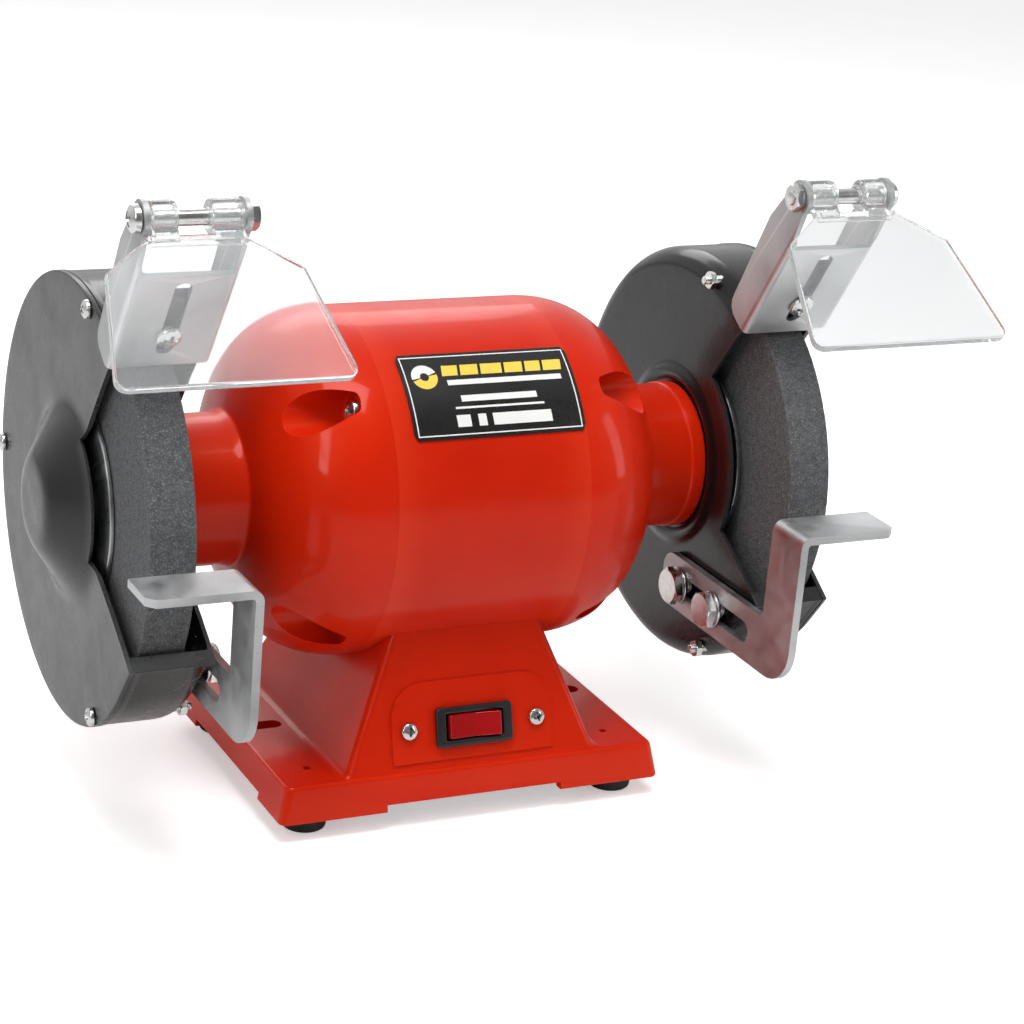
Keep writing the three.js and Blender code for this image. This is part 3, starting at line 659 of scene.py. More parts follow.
soft_box("overhead_box", at=(-0.15, -0.25, 1.25), wide=0.8, tall=0.4, watts=9.5)
soft_box("left_box", at=(-1.05, -0.75, 0.95), wide=0.28, tall=0.9, watts=6)
soft_box("right_box", at=(1.2, -0.8, 0.6), wide=0.3, tall=0.9, watts=4)
soft_box("back_box", at=(0.2, 1.2, 0.9), wide=1.0, tall=0.5, watts=5)
bpy.context.scene.view_settings.view_transform = "Standard"

# %% [markdown]
# ## The camera
# The machine is seen from in front, from its left end and a little above, with a long
# lens so that the two wheels look almost the same size. The camera is tipped a few
# degrees, as a hand-held one would be.

# %% Camera
turn, drop, tip = math.radians(27.498), math.radians(19.557), math.radians(4.992)
viewpoint = spot(-423.8, -890.2, 337.1)
focal_length, film_width = 96.94, 36.0
ahead = Vector((math.sin(turn) * math.cos(drop),
                math.cos(turn) * math.cos(drop), -math.sin(drop)))
level_right = ahead.cross(Vector((0, 0, 1))).normalized()
level_up = level_right.cross(ahead)
right = level_right * math.cos(tip) + level_up * math.sin(tip)
up = right.cross(ahead)
lens = bpy.data.cameras.new("camera")
lens.lens, lens.sensor_width = focal_length, film_width
camera = bpy.data.objects.new("camera", lens)
bpy.context.scene.collection.objects.link(camera)
facing = Matrix((right, up, -ahead)).transposed().to_4x4()
camera.matrix_world = Matrix.Translation(viewpoint) @ facing
bpy.context.scene.camera = camera
print("camera looks along", [round(c, 4) for c in ahead])
print("camera right", [round(c, 4) for c in right], "up", [round(c, 4) for c in up])

# %% [markdown]
# ## Motor housing
# The motor's shell is a rolled barrel between two cast end bells. Each bell curves in
# like a bowl and runs out into a collar that holds the bearing and the wheel guard.
# All three are turned shapes, so each is one profile with a real wall thickness.

# %% Barrel
wall = 3.5
housing_segments = 192
barrel_section = [(-barrel_half, barrel_radius - wall), (barrel_half, barrel_radius - wall)]
barrel_section += [(x, barrel_radius)
                   for x in (barrel_half, 26, 13, 0, -13, -26, -barrel_half)]
turned("motor_barrel_shell", barrel_section, housing_segments, "frame", red_enamel,
       "motor_barrel")
print("barrel is", round(2 * barrel_half, 1), "mm long")

# %% [markdown]
# ### End bells
# A quarter ellipse makes the bowl, a touch fuller than a true one, so that it leaves
# the barrel with no visible line. Where it meets the straight collar a casting always
# has a fillet, because molten metal fills an inside corner and a sharp one would crack.
# The collar ends in a low machined ring where the guard is screwed on.

# %% Bell profile
bell_long, bell_high = 42.5, 45.0
bell_core = barrel_radius - bell_high
bell_fullness = 2.4  # 2 would be a true ellipse
bell_steps = 26
collar_radius, collar_ring = 28.0, 0.55
collar_start, ring_start = 84.0, 101.2
shaft_hole, bearing_seat = 11.0, 17.8
seat_from, seat_to = 78.2, 95.5


def bell_skin():
    skin = []
    for k in range(bell_steps + 1):
        t = math.sin(math.radians(78.0 * k / bell_steps))
        skin.append((barrel_half + bell_long * t,
                     bell_core + bell_high * math.sqrt(1 - t ** bell_fullness)))
    return skin


def bell_profile():
    skin = bell_skin()
    bell_end = barrel_half + bell_long
    ring_radius = collar_radius + collar_ring
    fillet = soft_corners([(*skin[-1], 0), (bell_end - 0.15, collar_radius + 0.7, 1.3),
                           (bell_end + 5, collar_radius, 0)], 5)[1:-1]
    collar = soft_corners([(collar_start, collar_radius, 0), (ring_start, collar_radius, 0.5),
                           (ring_start + 0.5, ring_radius, 0.4), (collar_end, ring_radius, 0.7),
                           (collar_end, shaft_hole, 0.5), (seat_to, shaft_hole, 0)], 4)
    lining = [(seat_to, bearing_seat), (seat_from, bearing_seat)]
    for k in range(10):
        t = math.radians(76 - 76 * k / 9)
        lining.append((barrel_half + (bell_long - wall) * math.sin(t),
                       bell_core + (bell_high - wall) * math.cos(t)))
    return skin + fillet + collar + lining


print("bell profile has", len(bell_profile()), "points")

# %% Where the bolts sit
bolt_places = [((middle(f"motor_bolt_{n}") - SHAFT) * 1000)[1:] for n in (1, 2, 3, 4)]
pocket_radius, pocket_floor = 8.0, 47.0
print("bolts sit", round(math.hypot(*bolt_places[0]), 1), "mm from the shaft")

# %% [markdown]
# ### Bolt pockets
# Four long bolts clamp the two bells onto the barrel. Their heads sink in round pockets
# cut into the bell. The wall is thin, so a boss of solid metal is cast behind each one.
# The cutter is a cylinder with a rounded nose, and the fresh rim is bevelled afterwards.

# %% Cut the pockets
boss_radius, boss_end = 11.0, 74.0
boss_gap = 0.4  # how far a boss stays under the bell's skin
cutter_end = 96.0


def handed(side, profile, segments, y=0.0, z=0.0):
    # a turned solid, mirrored for the left-hand end
    corners, faces = turned_mesh(profile, segments, y, z)
    return loose([(side * x, b, c) for x, b, c in corners], faces)


skin_section = [(x - boss_gap, r - boss_gap) for x, r in bell_skin()]
skin_section = [(barrel_half, 0)] + skin_section + [(skin_section[-1][0], 0)]
boss_section = [(barrel_half + 0.5, 0), (barrel_half + 0.5, boss_radius),
                (boss_end, boss_radius), (boss_end, 0)]
nose = soft_corners([(pocket_floor, 0, 0), (pocket_floor, pocket_radius, 2.0),
                     (cutter_end, pocket_radius, 0), (cutter_end, 0, 0)])
for side, hand in ((-1, "left"), (1, "right")):
    bell = handed(side, bell_profile(), housing_segments)
    bosses = [relinked(worked(handed(side, boss_section, 40, y, z),
                              [handed(side, skin_section, 96)], "INTERSECT"))
              for y, z in bolt_places]
    bell = relinked(worked(bell, bosses, "UNION"))
    cutters = [handed(side, nose, 48, y, z) for y, z in bolt_places]
    shape = worked(bell, cutters, edge=0.9, edge_steps=3, edge_angle=28)
    dress(f"end_bell_shell_{hand}", shape, "frame", red_enamel, f"end_bell_{hand}", crease=46)
print("pockets cut:", 2 * len(bolt_places))

# %% [markdown]
# ## Screws
# Every small screw on the machine is a pan head with a cross for the driver. The head
# is turned, then a cross with tapering arms is sunk into it. Making it once as a mesh
# and copying it keeps them all alike, as screws from one box are.

# %% Pan head with a driver cross
box_faces = [(0, 1, 2, 3), (4, 7, 6, 5), (0, 4, 5, 1), (1, 5, 6, 2), (2, 6, 7, 3), (3, 7, 4, 0)]


def driver_cross(radius, height):
    # two crossed wedges, wide at the crown and narrow at the bottom
    arms = []
    reach, half = radius * 0.56, radius * 0.115
    ends = ((height + 0.3, reach * 1.12, half * 1.25),
            (height - 0.62 * radius, reach * 0.34, half * 0.8))
    for quarter in (0, 1):
        ring = []
        for x, long, wide in ends:
            for u, v in ((-long, -wide), (long, -wide), (long, wide), (-long, wide)):
                ring.append((x, u, v) if quarter == 0 else (x, v, u))
        arms.append(loose(ring, box_faces))
    return arms


def pan_head(radius, height, shank_radius, shank_length, thread_pitch=0.8):
    # the head's seat is at x = 0 and its crown at x = height
    head = soft_corners([(height, 0, 0), (height * 0.97, radius * 0.45, radius * 0.3),
                         (height * 0.62, radius * 0.93, radius * 0.22),
                         (0, radius, 0.25), (0, shank_radius, 0.1)], 4)
    shank = []
    x = -0.4
    while x - thread_pitch > -shank_length:
        shank += [(x, shank_radius), (x - thread_pitch / 2, shank_radius * 0.86)]
        x -= thread_pitch
    shank += [(-shank_length + 0.4, shank_radius), (-shank_length, shank_radius * 0.7),
              (-shank_length, 0)]
    body = loose(*turned_mesh(head + shank, 40))
    return worked(body, driver_cross(radius, height))


# %% Copies, as from one box
def turned_to(direction):
    return Vector((1, 0, 0)).rotation_difference(Vector(direction)).to_matrix().to_4x4()


def copy_of(master, name, at, direction, body, finish, node=None, spin=0.0, crease=32):
    mesh = master.copy()
    twist = Matrix.Rotation(math.radians(spin), 4, "X")
    to_shaft = Matrix.Translation(-SHAFT)
    mesh.transform(Matrix.Translation(spot(*at)) @ turned_to(direction) @ twist @ to_shaft)
    return dress(name, mesh, body, finish, node, crease)


# %% Motor bolts
random.seed(11)
bolt_radius = 2.0
bolt_reach = pocket_floor - 1
motor_screw = pan_head(radius=4.3, height=2.9, shank_radius=bolt_radius, shank_length=4.0)
bolt_rod = [(-bolt_reach, 0), (-bolt_reach, bolt_radius), (bolt_reach, bolt_radius),
            (bolt_reach, 0)]
for n, (y, z) in enumerate(bolt_places, 1):
    for side, hand in ((-1, "left"), (1, "right")):
        copy_of(motor_screw, f"motor_bolt_head_{n}_{hand}", (side * (pocket_floor + 0.3), y, z),
                (side, 0, 0), "frame", bright_zinc, f"motor_bolt_{n}",
                spin=random.uniform(0, 90))
    turned(f"motor_bolt_rod_{n}", bolt_rod, 16, "frame", bright_zinc, y=y, z=z)
print("motor bolts:", len(bolt_places))

# %% [markdown]
# ## Name plate
# A foil plate follows the barrel's curve. It is a thin curved strip: a grid whose
# columns run along the shaft and whose rows climb round the barrel. The printed marks
# are the same kind of strip, a hair thinner than paint, laid just above it.
# The marks are plain shapes, so the plate carries no maker's words.

# %% Curved strips
plate_x = extent("name_plate", 0)
plate_y = extent("name_plate", 1)
plate_face = math.hypot(plate_y[0], extent("name_plate", 2)[0])
plate_low = math.degrees(math.atan2(extent("name_plate", 2)[0], -plate_y[0]))
plate_high = 60.4
print("plate runs from", round(plate_low, 1), "degrees up, at radius", round(plate_face, 2))


def on_barrel(x, climb, radius):
    # climb is millimetres up the plate from its lower edge
    angle = math.radians(plate_low) + climb / barrel_radius
    return (x, -radius * math.cos(angle), radius * math.sin(angle))


def foil(name, outline_rows, low, high, finish, node=None):
    # outline_rows: (climb, first x, last x), from the lower edge upwards
    columns = 12
    corners, faces = [], []
    for radius in (low, high):
        for climb, first, last in outline_rows:
            corners += [on_barrel(first + (last - first) * k / columns, climb, radius)
                        for k in range(columns + 1)]
    rows, width = len(outline_rows), columns + 1
    layer = rows * width
    for j in range(rows - 1):
        for i in range(columns):
            a = j * width + i
            b = a + layer
            faces += [(a, a + width, a + width + 1, a + 1), (b, b + 1, b + width + 1, b + width)]
    for j in range(rows - 1):
        for a in (j * width, j * width + columns):
            faces.append((a, a + width, a + layer + width, a + layer))
    for i in range(columns):
        for a in (i, (rows - 1) * width + i):
            faces.append((a, a + 1, a + layer + 1, a + layer))
    return piece(name, corners, faces, "frame", finish, node, crease=50)


plate_rise = math.radians(plate_high - plate_low) * barrel_radius
plate_steps = 14
corner_round = 1.2
glue, foil_top = 0.06, 0.6
plate_rows = []
for k in range(plate_steps + 1):
    climb = plate_rise * k / plate_steps
    into_corner = corner_round - min(climb, plate_rise - climb, corner_round)
    corner = corner_round - math.sqrt(max(0.0, corner_round ** 2 - into_corner ** 2))
    plate_rows.append((climb, plate_x[0] + corner, plate_x[1] - corner))
foil("name_plate_foil", plate_rows, barrel_radius + glue, barrel_radius + foil_top,
     plate_black, "name_plate")

# %% Printed border and bars
ink_low, ink_high = barrel_radius + foil_top, barrel_radius + foil_top + 0.06


def ink_bar(name, x0, x1, c0, c1, finish, slant=0.0):
    rows = max(2, int((c1 - c0) / 1.5) + 1)
    shares = [k / (rows - 1) for k in range(rows)]
    foil(name, [(c0 + (c1 - c0) * share, x0 + slant * share, x1 + slant * share)
                for share in shares], ink_low, ink_high, finish)


inset, line = 1.3, 0.45
left_edge, right_edge = plate_x[0] + inset, plate_x[1] - inset
top_edge = plate_rise - inset
ink_bar("plate_border_low", left_edge, right_edge, inset, inset + line, plate_white)
ink_bar("plate_border_top", left_edge, right_edge, top_edge - line, top_edge, plate_white)
ink_bar("plate_border_left", left_edge, left_edge + line, inset + line, top_edge - line,
        plate_white)
ink_bar("plate_border_right", right_edge - line, right_edge, inset + line, top_edge - line,
        plate_white)
yellow_bars = ((-14.5, -8.3), (-7.2, -0.2), (0.9, 9.3), (10.4, 17.6), (18.7, 24.8), (25.9, 33.2))
for n, (x0, x1) in enumerate(yellow_bars, 1):
    ink_bar(f"plate_bar_yellow_{n}", x0, x1, 24.2, 28.6, plate_yellow, slant=0.8)
ink_bar("plate_bar_white_1", -13.2, 32.2, 20.3, 22.4, plate_white)
ink_bar("plate_bar_white_2", -9.6, 20.4, 13.6, 16.0, plate_white)
ink_bar("plate_bar_white_3", -12.6, 22.6, 10.9, 11.7, plate_white)
for n, (x0, x1) in enumerate(((-13.0, -7.6), (-4.6, -1.4), (1.2, 24.6)), 1):
    ink_bar(f"plate_bar_white_{n + 3}", x0, x1, 4.2, 8.6, plate_white)
print("bars printed:", len([o for o in made if o.name.startswith("plate_b")]))

# %% [markdown]
# ### The round mark
# A two-colour disc stands at the left of the plate. A disc on a curved plate is a fan
# of rings bent round the barrel, so it never sinks through the foil.

# %% Half-and-half disc
def ink_half_disc(name, cx, climb, inner, outer, start, end, finish):
    corners, faces = [], []
    spokes, rings = 24, 5
    for radius in (ink_low, ink_high):
        for k in range(spokes + 1):
            angle = math.radians(start + (end - start) * k / spokes)
            for j in range(rings + 1):
                reach = inner + (outer - inner) * j / rings
                corners.append(on_barrel(cx + reach * math.cos(angle),
                                         climb + reach * math.sin(angle), radius))
    width, layer = rings + 1, (spokes + 1) * (rings + 1)
    for k in range(spokes):
        for j in range(rings):
            a = k * width + j
            b = a + layer
            faces += [(a, a + 1, a + width + 1, a + width), (b, b + width, b + width + 1, b + 1)]
        for a in (k * width, k * width + rings):
            faces.append((a, a + width, a + layer + width, a + layer))
    for k in (0, spokes):
        for j in range(rings):
            a = k * width + j
            faces.append((a, a + 1, a + layer + 1, a + layer))
    piece(name, corners, faces, "frame", finish, crease=50)


disc_x, disc_climb, disc_hole, disc_radius = -21.4, 24.3, 1.7, 5.0
disc_sweep = 170  # degrees, a little short of half a turn
for name, start, finish in (("plate_disc_white", 20, plate_white),
                            ("plate_disc_yellow", 200, plate_yellow)):
    ink_half_disc(name, disc_x, disc_climb, disc_hole, disc_radius, start,
                  start + disc_sweep, finish)
print("plate is", round(plate_x[1] - plate_x[0], 1), "by", round(plate_rise, 1), "mm")

# %% [markdown]
# ## Wheel guards
# Each wheel runs in a drum pressed from sheet steel, open only at the front where the
# work is held. Pressing leaves a generous round between the drum's wall and its face,
# and a raised ring round the motor collar that stiffens the face.
# The sheet is laid out as spokes and rings, like a spider's web that misses its front
# sector. A second web one sheet thickness inside it, joined along every free edge,
# turns it into real metal.

# %% The web's spokes
guard_radius = min(-extent("wheel_guard_right", 2)[0], extent("wheel_guard_right", 1)[1])
chin = Vector((-74.6, -36.4))
mouth_ring = (58.0, 338.0)  # degrees between which the sheet runs, near its middle
mouth_rim = (55.5, 334.0)  # and at its rim
straight_from = 320.0


def around(degrees, radius):
    # degrees climb from the operator's side; gives y and z
    angle = math.radians(degrees)
    return Vector((-radius * math.cos(angle), radius * math.sin(angle)))


def rim_reach(degrees):
    # the drum is round, then runs straight to the chin
    if degrees <= straight_from:
        return guard_radius
    start, ray = around(straight_from, guard_radius), around(degrees, 1)
    along = chin - start
    return (start.x * along.y - start.y * along.x) / (ray.x * along.y - ray.y * along.x)


chin_reach = rim_reach(mouth_rim[1])
print("guard radius", round(guard_radius, 2), "mm, chin at", round(chin_reach, 2), "mm")

# %% Press a sheet with an open front
def pressed_sheet(name, side, outer, inner, seam, body, finish, node):
    # outer and inner are matching (radius, x) lists from the rim to the centre;
    # rings inside radius `seam` go all the way round
    spokes, front = 168, 26
    open_rows = [k for k, (r, x) in enumerate(outer) if r > seam]
    seam_row = open_rows[-1] + 1
    count = len(outer)
    corners, faces = [], []
    for layer in (outer, inner):
        for s in range(spokes + front):
            if s <= spokes:
                share = s / spokes
                ring = mouth_ring[0] + (mouth_ring[1] - mouth_ring[0]) * share
                rim = mouth_rim[0] + (mouth_rim[1] - mouth_rim[0]) * share
            else:
                mouth = mouth_ring[0] + 360 - mouth_ring[1]
                ring = rim = mouth_ring[1] + mouth * (s - spokes) / front
            for k in range(count):
                r, x = layer[k]
                part = max(0.0, min(1.0, (outer[k][0] - seam) / (guard_radius - seam)))
                angle = ring + (rim - ring) * part
                grown = r + (rim_reach(angle) - guard_radius) * part if s <= spokes else r
                y, z = around(angle, grown)
                corners.append((side * x, y, z))
    total = (spokes + front) * count
    for s in range(spokes + front):
        nxt = (s + 1) % (spokes + front)
        for k in range(count - 1):
            if k < seam_row and s >= spokes:
                continue
            a, b = s * count + k, s * count + k + 1
            c, d = nxt * count + k + 1, nxt * count + k
            faces += [(a, b, c, d), (a + total, d + total, c + total, b + total)]
    seen = {}
    for face in faces[::2]:
        for i in range(4):
            pair = (face[i], face[(i + 1) % 4])
            key = tuple(sorted(pair))
            seen[key] = None if key in seen else pair
    faces += [(a, a + total, b + total, b) for a, b in (pair for pair in seen.values() if pair)]
    used = sorted({i for face in faces for i in face})
    place = {old: new for new, old in enumerate(used)}
    return piece(name, [corners[i] for i in used],
                 [tuple(place[i] for i in face) for face in faces],
                 body, finish, node, crease=42)

# %% [markdown]
# ### The drum's section
# The section starts at the drum's open edge, which is turned out into a fine bead, runs
# down the wall, round the pressed shoulder, across the face and over the stiffening
# ring. Its twin on the inside keeps the sheet's thickness.

# %% Drum's section
face_x = 107.5
sheet = 1.5
open_x = extent("guard_cover_right", 0)[0] - 0.3
shoulder_round = 8.0
bore_radius, hub_clear = 16.3, 37.2
drum_radius = guard_radius - 0.3
stiffener = ((36.2, 0.1), (35.2, 0.5), (34.2, 1.1), (33.0, 1.5), (31.8, 1.5), (30.7, 1.1),
             (29.8, 0.4), (29.0, 0.0))  # radius, lift


def drum_section():
    outer = [(guard_radius - 0.35, open_x), (guard_radius, open_x - 0.35),
             (guard_radius, open_x - 1.5), (guard_radius - 0.25, open_x - 2.1)]
    outer += [(drum_radius, x) for x in (open_x - 3, 128, 122, 117)]
    inner = [(guard_radius - 1.4, open_x), (guard_radius - 1.6, open_x - 0.35),
             (guard_radius - 1.7, open_x - 1.5), (guard_radius - 1.75, open_x - 2.1)]
    inner += [(guard_radius - 1.8, x) for x in (open_x - 3, 128, 122, 117)]
    hub_r, hub_x = drum_radius - shoulder_round, face_x + shoulder_round
    for k in range(9):
        t = math.radians(90 * k / 8)
        for layer, bend in ((outer, shoulder_round), (inner, shoulder_round - sheet)):
            layer.append((hub_r + bend * math.cos(t), hub_x - bend * math.sin(t)))
    flat_rings = [(r, 0.0) for r in (69, 62, 55, 49, 46, 41, hub_clear)]
    for r, lift in (*flat_rings, *stiffener, (22, 0.0), (bore_radius, 0.0)):
        outer.append((r, face_x - lift))
        inner.append((r, face_x + sheet - lift))
    return outer, inner


print("drum section has", len(drum_section()[0]), "rings")

# %% Press the drums
chin_hem = [tuple(chin + Vector(step)) for step in ((0, 0), (5.2, 3.6), (6.1, 2.1), (1.6, -1.0))]
for side, hand in ((-1, "left"), (1, "right")):
    outer, inner = drum_section()
    pressed_sheet(f"guard_drum_{hand}", side, outer, inner, 46.0, "frame", black_enamel,
                  f"wheel_guard_{hand}")
    slab(f"guard_chin_hem_{hand}", chin_hem, [], side * (face_x + 0.3), side * open_x, 0.25,
         "frame", black_enamel)
print("drums pressed, wall", sheet, "mm")

# %% [markdown]
# ### Lug for the shield bracket
# A short folded lug inside the drum gives the shield's bracket something to bolt to.

# %% Bracket lug
lean = Vector((-0.541, 0.841)).normalized()  # the way up the bracket, in y and z
web_foot = Vector((-47.1, 62.7))


def on_web(s, depth):
    # s climbs the bracket, depth goes behind it
    return web_foot + lean * s + Vector((lean.y, -lean.x)) * depth


lug_near, lug_far, lug_top = 2.3, 4.7, 34
lug = [on_web(s, d) for s, d in ((1, lug_near), (lug_top, lug_near), (lug_top, lug_far),
                                 (-1, lug_far))]
lug = soft_corners([(*p, 0.8) for p in lug], 4)
for side, hand in ((-1, "left"), (1, "right")):
    slab(f"guard_lug_{hand}", lug, [], side * 109.2, side * (open_x - 0.2), 0.3, "frame",
         black_enamel)
print("lugs are", round(lug_far - lug_near, 1), "mm thick")

# %% [markdown]
# ## Outer covers
# The cover is the flat lid of the drum. Its middle is drawn out into a cone with a
# blunt top, to clear the nut on the end of the shaft.

# %% Draw the covers
cover_in, cover_out = extent("guard_cover_right", 0)[0], 139.0
dome_top = extent("guard_cover_right", 0)[1]
cover_sheet, drawn_sheet = 1.3, 0.9


def cover_section():
    outer = [(guard_radius, cover_out - 0.7), (guard_radius - 0.2, cover_out - 0.2),
             (guard_radius - 0.7, cover_out)]
    outer += [(r, cover_out) for r in (77, 70, 62, 54, 46, 40)]
    outer += [(37.5, cover_out + 0.15), (35.5, cover_out + 0.6), (33.5, cover_out + 1.4)]
    outer += [(30, 142.4), (26, 144.9), (22, 147.4), (18.5, 149.6), (17.0, 150.4)]
    outer += [(15.6, dome_top - 0.55), (13.8, dome_top - 0.15)]
    outer += [(r, dome_top) for r in (11.5, 6, 0.02)]
    inner = []
    for r, x in outer:
        thinned = drawn_sheet if 12 < r < 36 else 0
        inner.append((r if r > 78 else max(0.02, r - thinned),
                      cover_in if r > 38 else x - cover_sheet))
    return outer, inner


for side, hand in ((-1, "left"), (1, "right")):
    outer, inner = cover_section()
    pressed_sheet(f"outer_cover_{hand}", side, outer, inner, 35.0, "frame", satin_black,
                  f"guard_cover_{hand}")
print("cover cone stands", round(dome_top - cover_out, 1), "mm proud")

# %% [markdown]
# ### Cover screws
# Three long screws hold each cover to its drum, with a nut on the motor side.
# A nut is a six-sided bar whose corners are turned off, so it is cut here by
# intersecting a hexagon with a lens-shaped turning.

# %% Hexagons
def hexagon(across, height, bore=0.0, both_ends=True):
    # seat at x = 0, top at x = height
    corner = across / math.sqrt(3)
    turns = [math.radians(60 * k) for k in range(6)]
    points = [(x, corner * math.cos(turn), corner * math.sin(turn))
              for x in (0, height) for turn in turns]
    sides = [(k, (k + 1) % 6, 6 + (k + 1) % 6, 6 + k) for k in range(6)]
    prism = loose(points, sides + [tuple(range(5, -1, -1)), tuple(range(6, 12))])
    slope = corner * 0.5 * 0.28
    lens_shape = [(0, 0), (0, corner * 0.9 if both_ends else corner * 1.1)]
    if both_ends:
        lens_shape.append((slope, corner * 1.02))
    lens_shape += [(height - slope, corner * 1.02), (height, corner * 0.86), (height, 0)]
    shape = worked(prism, [loose(*turned_mesh(lens_shape, 48))], "INTERSECT")
    if bore:
        shape = worked(relinked(shape), [bar_tool(-1, height + 1, 0, 0, bore, 32)])
    return shape


# %% Threads
def threaded(start, end, radius, pitch=0.8):
    # (x, radius) points of a thread from start to end, for the lathe
    points, x = [(start, 0), (start, radius * 0.8)], start + 0.3
    while x + pitch < end - 0.2:
        points += [(x, radius), (x + pitch / 2, radius * 0.87)]
        x += pitch
    return points + [(end - 0.3, radius), (end, radius * 0.78), (end, 0)]


# %% Fasten the covers
cover_screw = pan_head(radius=3.5, height=2.3, shank_radius=1.65, shank_length=4.0)
small_nut = hexagon(across=6.0, height=2.4)
cover_stud = threaded(102.6, 136, 1.6, 0.7)
nut_seat = 104.8
for side, hand in ((-1, "left"), (1, "right")):
    for n in (1, 2, 3):
        node = f"cover_screw_{n}_{hand}"
        y, z = ((middle(node) - SHAFT) * 1000)[1:]
        copy_of(cover_screw, f"cover_screw_head_{n}_{hand}", (side * (cover_out + 0.3), y, z),
                (side, 0, 0), "frame", bright_zinc, node, spin=random.uniform(0, 90))
        copy_of(small_nut, f"cover_screw_nut_{n}_{hand}", (side * nut_seat, y, z), (side, 0, 0),
                "frame", bright_zinc, spin=random.uniform(0, 60))
        turned(f"cover_screw_stud_{n}_{hand}", [(side * x, r) for x, r in cover_stud], 20,
               "frame", bright_zinc, y=y, z=z)
print("cover screws:", 6)

# %% [markdown]
# ## Grinding wheels
# The wheel is pressed grit, so its faces are slightly rough and its corners chipped soft
# by use. It is turned like everything else, then every corner of the mesh is nudged by
# a fine noise, so that even the outline is grainy.

# %% Wheel's section
wheel_in, wheel_out = extent("grinding_wheel_right", 0)
tread = wheel_radius - 0.15
worn_corner = 0.35


def wheel_section():
    corner = (worn_corner, wheel_radius - worn_corner)
    near_hub = [7, 12, 20, 28, 34]
    near_rim = [36 + 38 * k / 18 for k in range(19)]
    rows = [(wheel_in, r) for r in near_hub + near_rim if r < wheel_radius - 0.8]
    rows += [(wheel_in + corner[0], corner[1]), (wheel_in + 1.0, tread)]
    rows += [(wheel_in + 2 + (wheel_out - wheel_in - 4) * k / 7, tread) for k in range(8)]
    rows += [(wheel_out - 1.0, tread), (wheel_out - corner[0], corner[1])]
    rows += [(wheel_out, r) for r in [70, 62, 54, 46, 36, 24, 12, 7]]
    return rows


print("wheel section has", len(wheel_section()), "points")

# %% Grit that you can feel
tread_grain, face_grain = 0.13, 0.12  # millimetres
smooth_bore, smooth_hub = 9, 38  # radii inside which nothing is nudged
for side, hand in ((-1, "left"), (1, "right")):
    corners, faces = turned_mesh(wheel_section(), 288)
    grainy = []
    for x, y, z in corners:
        nudge = noise.noise(Vector((x, y, z)) * 0.9) * tread_grain
        radius = math.hypot(y, z)
        if radius > smooth_bore:
            y, z = y * (1 + nudge / radius), z * (1 + nudge / radius)
            if radius > smooth_hub:
                x += noise.noise(Vector((z, x, y)) * 0.8) * face_grain
        grainy.append((side * x, y, z))
    piece(f"abrasive_wheel_{hand}", grainy, faces, "rotor", grit, f"grinding_wheel_{hand}",
          crease=55)
print("wheels are", round(2 * wheel_radius), "mm across and",
      round(wheel_out - wheel_in, 1), "mm thick")

# %% [markdown]
# ### Clamp flanges and nut
# Two dished steel flanges squeeze the wheel near its middle. Only their rims touch, so
# the clamping force can't crack it. The nut holds them on the threaded shaft end.

# %% Turn the flanges
flange_radius = extent("inner_flange_right", 2)[1]
arbor = 6.3
inner_low, inner_high = extent("inner_flange_right", 0)
outer_low, outer_high = extent("outer_flange_right", 0)
back = soft_corners([(inner_low, arbor, 0.2), (inner_low, 13.6, 0.8),
                     (inner_high - 3.2, 13.9, 1.2), (inner_high - 2.6, 27, 1.0),
                     (inner_high - 2.0, 35.5, 0.5), (inner_high - 1.9, flange_radius, 0.45),
                     (inner_high, flange_radius, 0.3), (inner_high, 33, 0.2),
                     (inner_high - 0.5, 32, 0.2), (inner_high - 0.5, arbor, 0.1)], 4)
front = soft_corners([(outer_high, arbor, 0.2), (outer_high, 28.5, 1.0),
                      (outer_low + 1.5, flange_radius - 0.5, 0.5),
                      (outer_low, flange_radius - 0.3, 0.3), (outer_low, 33, 0.2),
                      (outer_low + 0.5, 32, 0.2), (outer_low + 0.5, arbor, 0.1)], 4)
for side, hand in ((-1, "left"), (1, "right")):
    for place, section in (("inner", back), ("outer", front)):
        turned(f"clamp_flange_{place}_{hand}", [(side * x, r) for x, r in section], 128,
               "rotor", turned_steel, f"{place}_flange_{hand}")
print("clamp flanges are", round(2 * flange_radius, 1), "mm across")

# %% Shaft nut
nut_low, nut_high = extent("wheel_nut_right", 0)
big_nut = hexagon(across=19.0, height=nut_high - nut_low, bore=arbor)
for side, hand in ((-1, "left"), (1, "right")):
    copy_of(big_nut, f"shaft_nut_{hand}", (side * nut_low, 0, 0), (side, 0, 0), "rotor",
            turned_steel, f"wheel_nut_{hand}")
print("shaft nut is", round(nut_high - nut_low, 1), "mm thick")

# %% [markdown]
# ## Parts inside the motor
# The stator, its copper windings, the rotor, the bearings and the capacitor are shut
# inside the housing. Their engineering shapes are right, so they stay and only get
# proper finishes.

# %% Finish the inner parts
dressed = set()


def refinish(node, finish):
    obj = frame["nodes"][node]
    for holder in obj.material_slots:
        holder.material = finish["material"]
    dressed.add(node)


for node in ("motor_shaft", "rotor_core", "stator_core", "shaft_bearing_left",
             "shaft_bearing_right"):
    refinish(node, turned_steel)
for node in ("stator_winding_left", "stator_winding_right"):
    refinish(node, copper)
refinish("run_capacitor", black_plastic)
refinish("bottom_cover", zinc_sheet)
print("refinished:", sorted(dressed))

# %% [markdown]
# ## Tool rests
# A tool rest is one strip of plated sheet: an upright arm with a slot, bent over at the
# top into a little table. The quickest true way to make bent sheet is to sweep the
# bend's section straight through, then trim it with its own side view, as a press
# does. Every trimmed edge gets the small round that deburring leaves.

